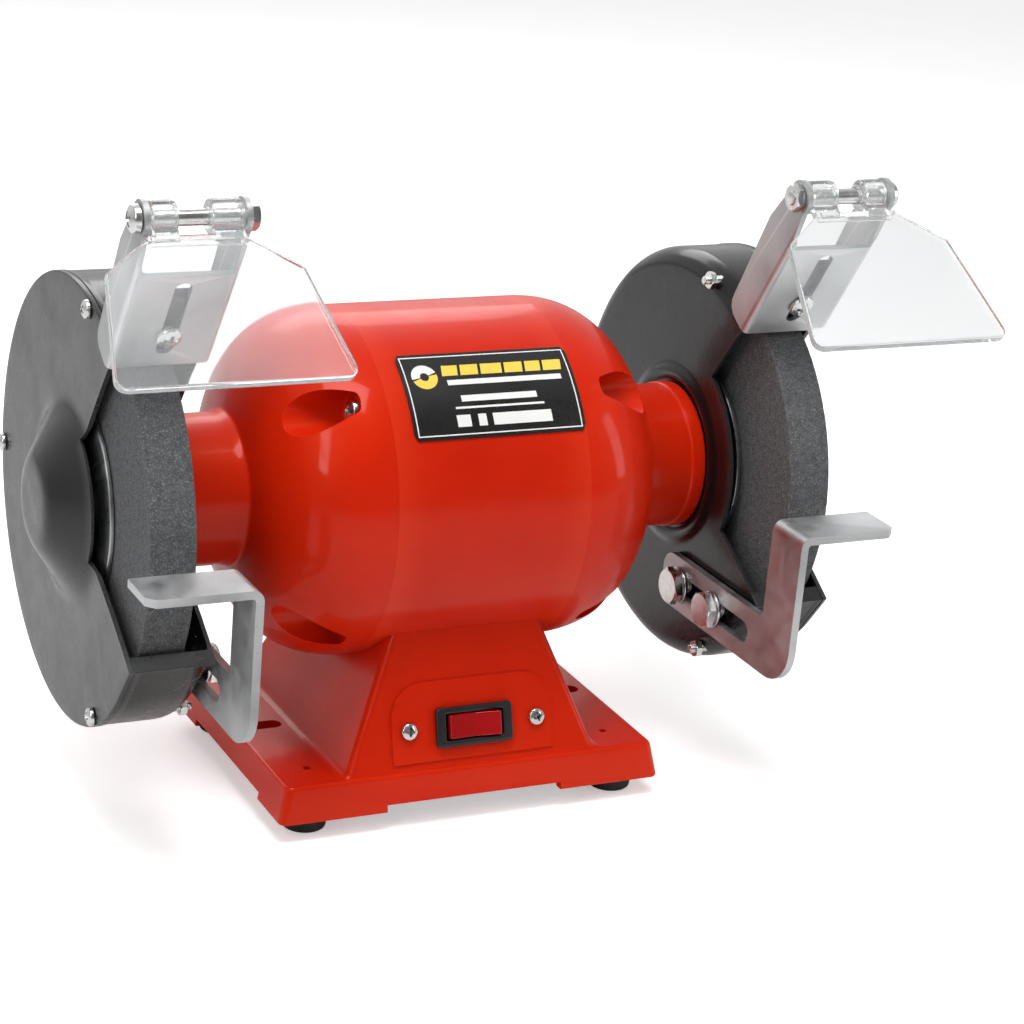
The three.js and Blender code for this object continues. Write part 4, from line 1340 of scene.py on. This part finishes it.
# %% Straight stock
def prism(outline, low, high, place):
    n = len(outline)
    corners = [place(u, v, low) for u, v in outline] + [place(u, v, high) for u, v in outline]
    faces = [(k, (k + 1) % n, n + (k + 1) % n, n + k) for k in range(n)]
    flat = [[Vector((u, v, 0)) for u, v in outline]]
    for a, b, c in geometry.tessellate_polygon(flat):
        faces += [(a, b, c), (a + n, c + n, b + n)]
    return loose(corners, faces)


def long_hole(a, b, radius):
    # round-ended slot between two points
    along = math.degrees(math.atan2(b[1] - a[1], b[0] - a[0]))
    return (arc(a[0], a[1], radius, along + 90, along + 270, 14)
            + arc(b[0], b[1], radius, along - 90, along + 90, 14))


def seen_from_side(side):
    # an outline drawn in y and z, pushed along the shaft
    return lambda u, v, w: (side * w, u, v)


# %% Sizes of a rest
rest_in, rest_tip = extent("tool_rest_right", 0)
rest_front, rest_end = extent("tool_rest_right", 1)
rest_low, rest_top = extent("tool_rest_right", 2)
rest_sheet, rest_back, arm_top = 3.0, -85.0, -36.0
slot_height = (middle("rest_bolt_1_right") - SHAFT).z * 1000
print("rest reaches from", round(rest_front, 1), "to", round(rest_end, 1), "mm")

# %% Bend and trim the rests
table_corner = 3.2
rest_slot = long_hole((-72, slot_height), (-18, slot_height), 4.3)
bend_section = soft_corners([(rest_in, rest_low - 2, 0), (rest_in, rest_top, 4.2),
                             (rest_tip + 2, rest_top, 0), (rest_tip + 2, rest_top - rest_sheet, 0),
                             (rest_in + rest_sheet, rest_top - rest_sheet, 1.3),
                             (rest_in + rest_sheet, rest_low - 2, 0)], 8)
rest_side = soft_corners([(rest_back, rest_top + 2, 0), (rest_front, rest_top + 2, 0),
                          (rest_front, rest_low, 15), (rest_end, rest_low, 9),
                          (rest_end, arm_top, 7), (rest_back, arm_top, 2.5)], 8)
rest_plan = [(rest_in - 2, rest_front - 2), (rest_tip - table_corner, rest_front - 2),
             (rest_tip - table_corner, rest_front), (rest_tip, rest_front + table_corner),
             (rest_tip, rest_end + 2), (rest_in - 2, rest_end + 2)]
for side, hand in ((-1, "left"), (1, "right")):
    stock = prism(bend_section, rest_front, rest_end + 1, lambda u, v, w: (side * u, w, v))
    trims = [prism(rest_side, rest_in - 5, rest_tip + 5, seen_from_side(side)),
             prism(rest_plan, rest_low - 5, rest_top + 5, lambda u, v, w: (side * u, v, w))]
    shape = worked(stock, trims, "INTERSECT")
    slot_tool = prism(rest_slot, rest_in - 3, rest_in + 6, seen_from_side(side))
    shape = worked(relinked(shape), [slot_tool], edge=0.45, edge_steps=3, edge_angle=50)
    dress(f"tool_rest_sheet_{hand}", shape, f"rest_{hand}", zinc_sheet, f"tool_rest_{hand}",
          crease=40)
print("rests are bent from", rest_sheet, "mm sheet")

# %% [markdown]
# ### Rest bolts
# Two hexagon bolts clamp each rest to the drum's face. Each one carries a flat washer
# and a spring washer, so vibration can't shake it loose.

# %% Bolts with their washers
bolt_head = hexagon(across=13.0, height=3.3, both_ends=False)
rest_nut = hexagon(across=12.0, height=4.5)
washer_hole = 4.1


def washer_ring(seat, thickness, radius, edge):
    return soft_corners([(seat, washer_hole, 0.1), (seat, radius, edge),
                         (seat - thickness, radius, edge),
                         (seat - thickness, washer_hole, 0.1)], 3)


flat_seat = rest_in - 0.3
split_seat = flat_seat - 0.9
head_seat = flat_seat - 1.9
rings = (("washer", washer_ring(flat_seat, 0.9, 7.1, 0.3), 48, bright_zinc),
         ("spring", washer_ring(split_seat, 1.0, 6.1, 0.25), 48, turned_steel))
rest_thread = threaded(flat_seat - 2, 115.4, 3.9, 1.0)
rest_nut_seat = 109.8
for side, hand in ((-1, "left"), (1, "right")):
    for n in (1, 2):
        node = f"rest_bolt_{n}_{hand}"
        y = ((middle(node) - SHAFT) * 1000).y
        for kind, section, segments, finish in rings:
            turned(f"rest_bolt_{kind}_{n}_{hand}", [(side * x, r) for x, r in section],
                   segments, "frame", finish, y=y, z=slot_height)
        copy_of(bolt_head, f"rest_bolt_head_{n}_{hand}", (side * head_seat, y, slot_height),
                (-side, 0, 0), "frame", bright_zinc, node, spin=17 + 31 * n)
        turned(f"rest_bolt_thread_{n}_{hand}", [(side * x, r) for x, r in rest_thread], 32,
               "frame", bright_zinc, y=y, z=slot_height)
        copy_of(rest_nut, f"rest_bolt_nut_{n}_{hand}", (side * rest_nut_seat, y, slot_height),
                (side, 0, 0), "frame", bright_zinc, spin=8 * n)
print("rest bolts:", 4)

# %% [markdown]
# ## Shield brackets
# Each eye shield hangs from a channel of plated sheet with a slotted web and two cheeks.
# It is made the same way: sweep the channel's section up the slope, trim it with the
# cheeks' side view, open the top of the web, then cut the slot and the pivot holes.

# %% Channel and cheek outlines
bracket_in, bracket_out = extent("shield_bracket_right", 0)
bracket_middle = (bracket_in + bracket_out) / 2
bracket_sheet = 2.0
web_top = 44.5
cheek_depth = 18
cheek_eye = 6.36
rod = Vector([sum(extent("pivot_rod_right", axis)) / 2 for axis in (1, 2)])
rod_along = (rod - web_foot).dot(lean)
inside_left, inside_right = bracket_in + bracket_sheet, bracket_out - bracket_sheet
channel = soft_corners([(bracket_in, cheek_depth, 0), (bracket_in, 0, 2.6),
                        (bracket_out, 0, 2.6), (bracket_out, cheek_depth, 0),
                        (inside_right, cheek_depth, 0), (inside_right, bracket_sheet, 0.8),
                        (inside_left, bracket_sheet, 0.8), (inside_left, cheek_depth, 0)], 6)
cheek = [on_web(0, -0.5), on_web(web_top + 2.2, -0.5), on_web(web_top + 4.5, 0.9)]
cheek += arc(rod.x, rod.y, cheek_eye, 235, 20, 18)
cheek += [(-56.8, 110.5), on_web(6, 14.6), on_web(3.4, 14.2), on_web(1.2, 12.6), on_web(0, 10)]
cheek = [tuple(corner) for corner in cheek]
print("pivot is", round(rod_along, 1), "mm up the bracket")


# %% Fold the channels
def across_web(side):
    # an outline drawn across and up the web, pushed through it
    return lambda u, v, w: (side * u, *on_web(v, w))


pivot_hole = 3.1
web_slot = long_hole((bracket_middle, 9), (bracket_middle, 38), 3.0)
gap_left, gap_right = inside_left + 0.02, inside_right - 0.02
web_gap = [(gap_left, web_top), (gap_right, web_top), (gap_right, 80), (gap_left, 80)]
for side, hand in ((-1, "left"), (1, "right")):
    stock = prism(channel, -0.5, 74, lambda u, v, w: (side * u, *on_web(w, v)))
    cheek_tool = prism(cheek, bracket_in - 3, bracket_out + 3, seen_from_side(side))
    shape = worked(stock, [cheek_tool], "INTERSECT")
    tools = [prism(web_gap, -2, 3.1, across_web(side)),
             prism(web_slot, -2, 4, across_web(side)),
             bar_tool(side * (bracket_in - 4), side * (bracket_out + 4), rod.x, rod.y,
                      pivot_hole)]
    shape = worked(relinked(shape), tools, edge=0.3, edge_steps=2, edge_angle=50)
    dress(f"shield_channel_{hand}", shape, f"bracket_{hand}", zinc_sheet,
          f"shield_bracket_{hand}", crease=40)
print("channels are folded from", bracket_sheet, "mm sheet")

# %% [markdown]
# ### Bracket screw and pivot
# One screw through the slot sets the bracket's height. The shield swings on a long
# screw: its cross head is outside and a nut pinches the cheeks on the other end.

# %% Fasten the brackets
web_screw = pan_head(radius=4.6, height=2.6, shank_radius=2.3, shank_length=6.0)
web_nut = hexagon(across=8.0, height=3.2)
pivot_head = pan_head(radius=5.0, height=3.7, shank_radius=2.6, shank_length=3.0)
pivot_nut = hexagon(across=9.0, height=3.0)
screw_up = 15.2  # how far up the slot the bracket is clamped
stem_radius, thread_end = 2.8, 106
behind = Vector((0, lean.y, -lean.x))
tail = threaded(extent("pivot_rod_right", 0)[0], thread_end, 2.75, 0.8)[:-2]
stem = tail + [(thread_end + 0.5, stem_radius), (bracket_out + 0.5, stem_radius),
               (bracket_out + 0.5, 0)]
for side, hand in ((-1, "left"), (1, "right")):
    x = side * bracket_middle
    copy_of(web_screw, f"bracket_screw_head_{hand}", (x, *on_web(screw_up, -0.3)), -behind,
            "frame", bright_zinc, f"bracket_screw_{hand}", spin=25)
    copy_of(web_nut, f"bracket_screw_nut_{hand}", (x, *on_web(screw_up, 5.2)), behind, "frame",
            bright_zinc, spin=10)
    copy_of(pivot_head, f"pivot_head_{hand}", (side * (bracket_out + 0.3), *rod), (side, 0, 0),
            f"bracket_{hand}", bright_zinc, f"pivot_rod_{hand}", spin=30)
    copy_of(pivot_nut, f"pivot_nut_{hand}", (side * (bracket_in - 0.3), *rod), (-side, 0, 0),
            f"bracket_{hand}", bright_zinc, spin=12)
    turned(f"pivot_stem_{hand}", [(side * a, r) for a, r in stem], 40, f"bracket_{hand}",
           bright_zinc, y=rod.x, z=rod.y)
print("pivot at", [round(c, 1) for c in rod])

# %% [markdown]
# ## Eye shields
# Each shield is moulded in one piece: a clear pane with cut-off shoulders, a stiff rib
# along its top, and two knuckles that grip the pivot. The pane, rib and knuckles are
# fused into a single solid, because clear plastic shows any wall left inside it.

# %% The shield's own ruler
slope = math.radians(37.1)
pane_thick = 3.0
pane_middle = 124.8
pane_down = Vector((-math.cos(slope), -math.sin(slope)))
pane_out = Vector((-math.sin(slope), math.cos(slope)))


def on_pane(x, down, out):
    return (x, *(rod + pane_down * down + pane_out * out))


def beside_pane(side):
    # an outline drawn down and out from the pivot, pushed along the shaft
    return lambda u, v, w: on_pane(side * w, u, v)


pane_top, shoulder, pane_bottom = 8.6, 22, 66.5  # millimetres below the pivot
pane_outline = soft_corners([(-16.3, pane_top, 0.8), (16.3, pane_top, 0.8),
                             (33.4, shoulder, 2.5), (40.7, pane_bottom, 4.0),
                             (-40.7, pane_bottom, 4.0), (-33.4, shoulder, 2.5)], 6)
rib = soft_corners([(8.7, -2.6, 0.7), (11.0, -2.6, 0.7), (11.0, 2.6, 0.7), (8.7, 2.6, 0.7)], 4)
rib_half = 15.6
knuckles = ((107.6, 118.4), (129.9, 138.7))
knuckle_radius = 5.9
bridge = [(3, -1.5), (9.6, -1.5), (9.6, 1.5), (3, 1.5)]
print("pane is", round(pane_bottom - pane_top, 1), "mm deep")


# %% Mould the shields
def knuckle(side, a, b):
    profile = soft_corners([(a, 0, 0), (a, knuckle_radius, 0.9), (b, knuckle_radius, 0.9),
                            (b, 0, 0)], 5)
    corners, faces = turned_mesh(profile, 56, rod.x, rod.y)
    return loose([(side * x, y, z) for x, y, z in corners], faces)


for side, hand in ((-1, "left"), (1, "right")):
    corners, faces = slab_mesh(pane_outline, [], -pane_thick / 2, pane_thick / 2, 0.7,
                               lambda u, v, w: on_pane(side * (pane_middle + u), v, w), 4)
    pane_solid = loose(corners, faces)
    parts = [prism(rib, pane_middle - rib_half, pane_middle + rib_half, beside_pane(side))]
    for a, b in knuckles:
        parts.append(knuckle(side, a, b))
        parts.append(prism(bridge, a + 0.4, b - 0.4, beside_pane(side)))
    shape = worked(pane_solid, parts, "UNION")
    bore = bar_tool(side * (pane_middle - 30), side * (pane_middle + 30), rod.x, rod.y,
                    pivot_hole, 56)
    shape = worked(relinked(shape), [bore])
    dress(f"clear_shield_{hand}", shape, f"shield_{hand}", clear_plastic, f"eye_shield_{hand}",
          crease=38)
print("shields moulded, pane", pane_thick, "mm thick")

# %% [markdown]
# ## Base casting
# The motor stands on a cast foot: a wide flange that bolts to the bench and a pedestal
# that leans in on all four sides. A stack of rounded rectangles, each at its own
# height, is skinned from bottom to top, which is how a pattern maker would loft it.

# %% Stack the sections
base_middle = (middle("base_casting") - SHAFT).y * 1000
base_low = extent("base_casting", 2)[0]
base_half_x = extent("base_casting", 0)[1]
base_half_y = (extent("base_casting", 1)[1] - extent("base_casting", 1)[0]) / 2
flange_top = -92.7
foot_half_x, foot_half_y = 50.9, 53.0  # the pedestal where it meets the flange
taper_x, taper_y = 0.42, 0.305


def pedestal_half(z):
    rise = z - flange_top
    return foot_half_x - taper_x * rise, foot_half_y - taper_y * rise


def rounded_rectangle(half_x, half_y, radius, steps=5):
    return soft_corners([(-half_x, -half_y, radius), (half_x, -half_y, radius),
                         (half_x, half_y, radius), (-half_x, half_y, radius)], steps)


def lofted(sections):
    corners, faces = [], []
    for z, half_x, half_y, radius in sections:
        corners += [(u, base_middle + v, z) for u, v in rounded_rectangle(half_x, half_y, radius)]
    n = len(corners) // len(sections)
    for k in range(len(sections) - 1):
        for i in range(n):
            j = (i + 1) % n
            faces.append((k * n + i, k * n + j, (k + 1) * n + j, (k + 1) * n + i))
    last = (len(sections) - 1) * n
    return loose(corners, faces + [tuple(range(n - 1, -1, -1)), tuple(range(last, last + n))])


# height, half width, half depth, corner radius
sections = [(base_low, base_half_x - 0.8, base_half_y - 0.8, 2.6),
            (base_low + 0.2, base_half_x - 0.3, base_half_y - 0.3, 3.0),
            (base_low + 0.8, base_half_x - 0.05, base_half_y - 0.05, 3.2),
            (flange_top - 1.3, 75.0, 54.75, 3.2), (flange_top - 0.5, 74.65, 54.4, 3.1),
            (flange_top - 0.1, 74.1, 53.95, 2.8), (flange_top, 73.4, 53.6, 2.4),
            (flange_top, 54.2, 53.35, 3.0), (flange_top + 0.25, 52.6, 53.15, 3.0),
            (flange_top + 0.9, 51.2, 52.9, 3.0)]
sections += [(z, *pedestal_half(z), 3.0) for z in (-90.5, -84, -78, -72, -66, -60, -50, -38)]
print("flange is", round(2 * base_half_x, 1), "by", round(2 * base_half_y, 1), "mm")

# %% [markdown]
# ### Panel, slots and pads
# The leaning front carries a slightly raised panel for the switch. Underneath, the rim
# is relieved between four corner pads so the foot never rocks. Two slots take the
# bench bolts. The whole casting is hollow, to save metal.

# %% The leaning face
rock = next(j for j in frame["joints"] if j["name"] == "switch_rock")
face_up = Vector(rock["axis"]).normalized()
face_out = Vector((0, -face_up.z, face_up.y))
panel_height = -78.4
face_foot = Vector((0, base_middle - pedestal_half(panel_height)[1], panel_height))


def on_face(x, climb, out):
    return tuple(Vector((x, 0, 0)) + face_foot + face_up * climb + face_out * out)


def upright(x, y, z):
    return (x, y, z)


print("switch leans", round(math.degrees(math.atan2(face_up.y, face_up.z)), 1), "degrees")

# %% Cast the base
casting_wall, pad_depth, bench_slot, locating_hole = 4, 3, 63, 61
cavity_top = -71
arch = soft_corners([(-32.5, -12, 0), (32.5, -12, 0), (32.5, 17.5, 13), (-32.5, 17.5, 13)], 10)
casting = relinked(worked(lofted(sections), [prism(arch, -3, 0.8, on_face)], "UNION"))
cavity = lofted([(z, *[half - casting_wall for half in pedestal_half(z)], 2)
                 for z in (-120, cavity_top)])
pad_top = base_low + pad_depth
tools = [cavity,
         block(-90, 90, base_middle - 33.5, base_middle + 33.5, base_low - 5, pad_top),
         block(-35.5, 35.5, -120, 100, base_low - 5, pad_top),
         prism(rounded_rectangle(13.9, 6.3, 0.5), -14, 4, on_face)]
for side in (-1, 1):
    slot_path = long_hole((side * bench_slot - 4, base_middle),
                          (side * bench_slot + 4, base_middle), 3.3)
    tools.append(prism(slot_path, base_low - 3, flange_top + 3, upright))
    tools.append(prism(arc(side * locating_hole, -49.6, 1.5, 0, 345, 23), flange_top - 2,
                       flange_top + 2, upright))
shape = worked(casting, tools, edge=0.55, edge_steps=3, edge_angle=48)
dress("cast_base", shape, "frame", red_enamel, "base_casting", crease=44)
print("casting wall is", casting_wall, "mm")

# %% [markdown]
# ### Rubber feet
# Four soft feet keep the machine from walking. Each is a short cone with a rounded sole
# and a sunk screw, turned about an upright line.

# %% Turn the feet
foot_low = extent("rubber_foot_1", 2)[0]


def turned_upright(name, profile, at, segments, body, finish, node=None):
    corners, faces = turned_mesh(profile, segments)
    stood = [(at[0] + y, at[1] + z, x) for x, y, z in corners]
    return piece(name, stood, faces, body, finish, node)


sole_radius, foot_radius, screw_sink = 8.0, 9.0, 2.5
foot_shape = soft_corners([(foot_low + screw_sink, 0, 0), (foot_low + screw_sink, 3.4, 0.3),
                           (foot_low, 3.6, 0.5), (foot_low, sole_radius, 1.2),
                           (foot_low + 4, 8.6, 0.4), (base_low - 0.3, foot_radius, 0.5),
                           (base_low - 0.3, 0, 0)], 5)
foot_places = {n: (middle(f"rubber_foot_{n}") - SHAFT) * 1000 for n in (1, 2, 3, 4)}
foot_screw = pan_head(radius=3.1, height=1.8, shank_radius=1.5, shank_length=2.0)
for n, at in foot_places.items():
    turned_upright(f"rubber_foot_pad_{n}", foot_shape, at, 64, "frame", black_rubber,
                   f"rubber_foot_{n}")
for n, at in foot_places.items():
    copy_of(foot_screw, f"rubber_foot_screw_{n}", (at.x, at.y, foot_low + screw_sink - 0.1),
            (0, 0, -1), "frame", bright_zinc, spin=19 * n)
print("feet:", len(foot_places))

# %% [markdown]
# ## Switch
# A rocker switch snaps into the panel between two screws. The frame is moulded with
# a soft edge and a sunk well, and the rocker is a shallow V of clear red plastic with a faint
# painted glow.

# %% Mould the switch
well = rounded_rectangle(11.6, 5.0, 0.6, 4)
frame_outline = rounded_rectangle(15.4, 7.4, 1.6, 6)
slab("switch_frame", frame_outline, [well], 1.1, 3.2, 0.6, "frame", black_plastic,
     "switch_bezel", place=on_face)
slab("switch_well", rounded_rectangle(13.5, 5.9, 0.8, 4), [well], -4.6, 1.4, 0.2, "frame",
     black_plastic, place=on_face)
slab("switch_body", rounded_rectangle(13.4, 5.8, 0.8, 4), [], -13, -4.65, 0.4, "frame",
     black_plastic, place=on_face)
rocker_half = 4.4
rocker_side = soft_corners([(-10.1, 3.6, 0.7), (0, 2.6, 3.0), (10.1, 5.3, 0.7), (10.1, 1, 0.6),
                            (5, -2.8, 1.2), (-5, -2.8, 1.2), (-10.1, 1, 0.6)], 5)
slab("switch_rocker_lens", rocker_side, [], -rocker_half, rocker_half, 0.35, "switch", red_lens,
     "switch_rocker", place=lambda u, v, w: on_face(u, w, v))
panel_screw = pan_head(radius=3.3, height=2.1, shank_radius=1.6, shank_length=3.0)
for n in (1, 2):
    x = ((middle(f"switch_screw_{n}") - SHAFT) * 1000).x
    copy_of(panel_screw, f"switch_screw_head_{n}", on_face(x, 0, 1.1), face_out, "frame",
            bright_zinc, f"switch_screw_{n}", spin=40 + 25 * n)
print("rocker is", 2 * rocker_half, "mm high")

# %% [markdown]
# ## Cord gland
# The mains cord would leave at the back through a screwed gland: a six-sided foot and a
# ribbed cap with a hole. Only the gland is made.

# %% Turn the gland
cord_hole, cap_radius, groove_radius = 3.4, 6.4, 6.05
grooves, groove_step = 4, 1.2
gland_foot = hexagon(across=13.8, height=3.7, bore=cord_hole)
cap_shape = [(0, cord_hole), (0, 6.0), (0.4, cap_radius)]
for k in range(grooves):
    cap_shape += [(1.2 + groove_step * k, cap_radius), (1.5 + groove_step * k, groove_radius),
                  (1.9 + groove_step * k, groove_radius), (2.2 + groove_step * k, cap_radius)]
cap_shape += [(6.2, 6.2), (6.9, 5.4), (7, 4.2), (6.7, 3.6), (5.5, cord_hole)]
gland_cap = worked(loose(*turned_mesh(cap_shape, 56)), [])
gland_height = -83.0
gland_at = Vector((-24, base_middle + pedestal_half(gland_height)[1], gland_height))
gland_out = Vector((0, face_up.z, face_up.y))
copy_of(gland_foot, "gland_foot", gland_at + gland_out * 0.3, gland_out, "frame",
        black_plastic, "cord_gland", spin=15)
copy_of(gland_cap, "gland_cap", gland_at + gland_out * 4, gland_out, "frame", black_plastic)
print("gland at", [round(c, 1) for c in gland_at])

# %% [markdown]
# ## Loose ends
# The last job is to list any engineering part that is still shown and was never
# refinished, and to count the pieces made.

# %% List plain parts and count pieces
for node, obj in frame["nodes"].items():
    if not obj.hide_render and node not in dressed:
        print("still plain:", node)
print("pieces made:", len(made))
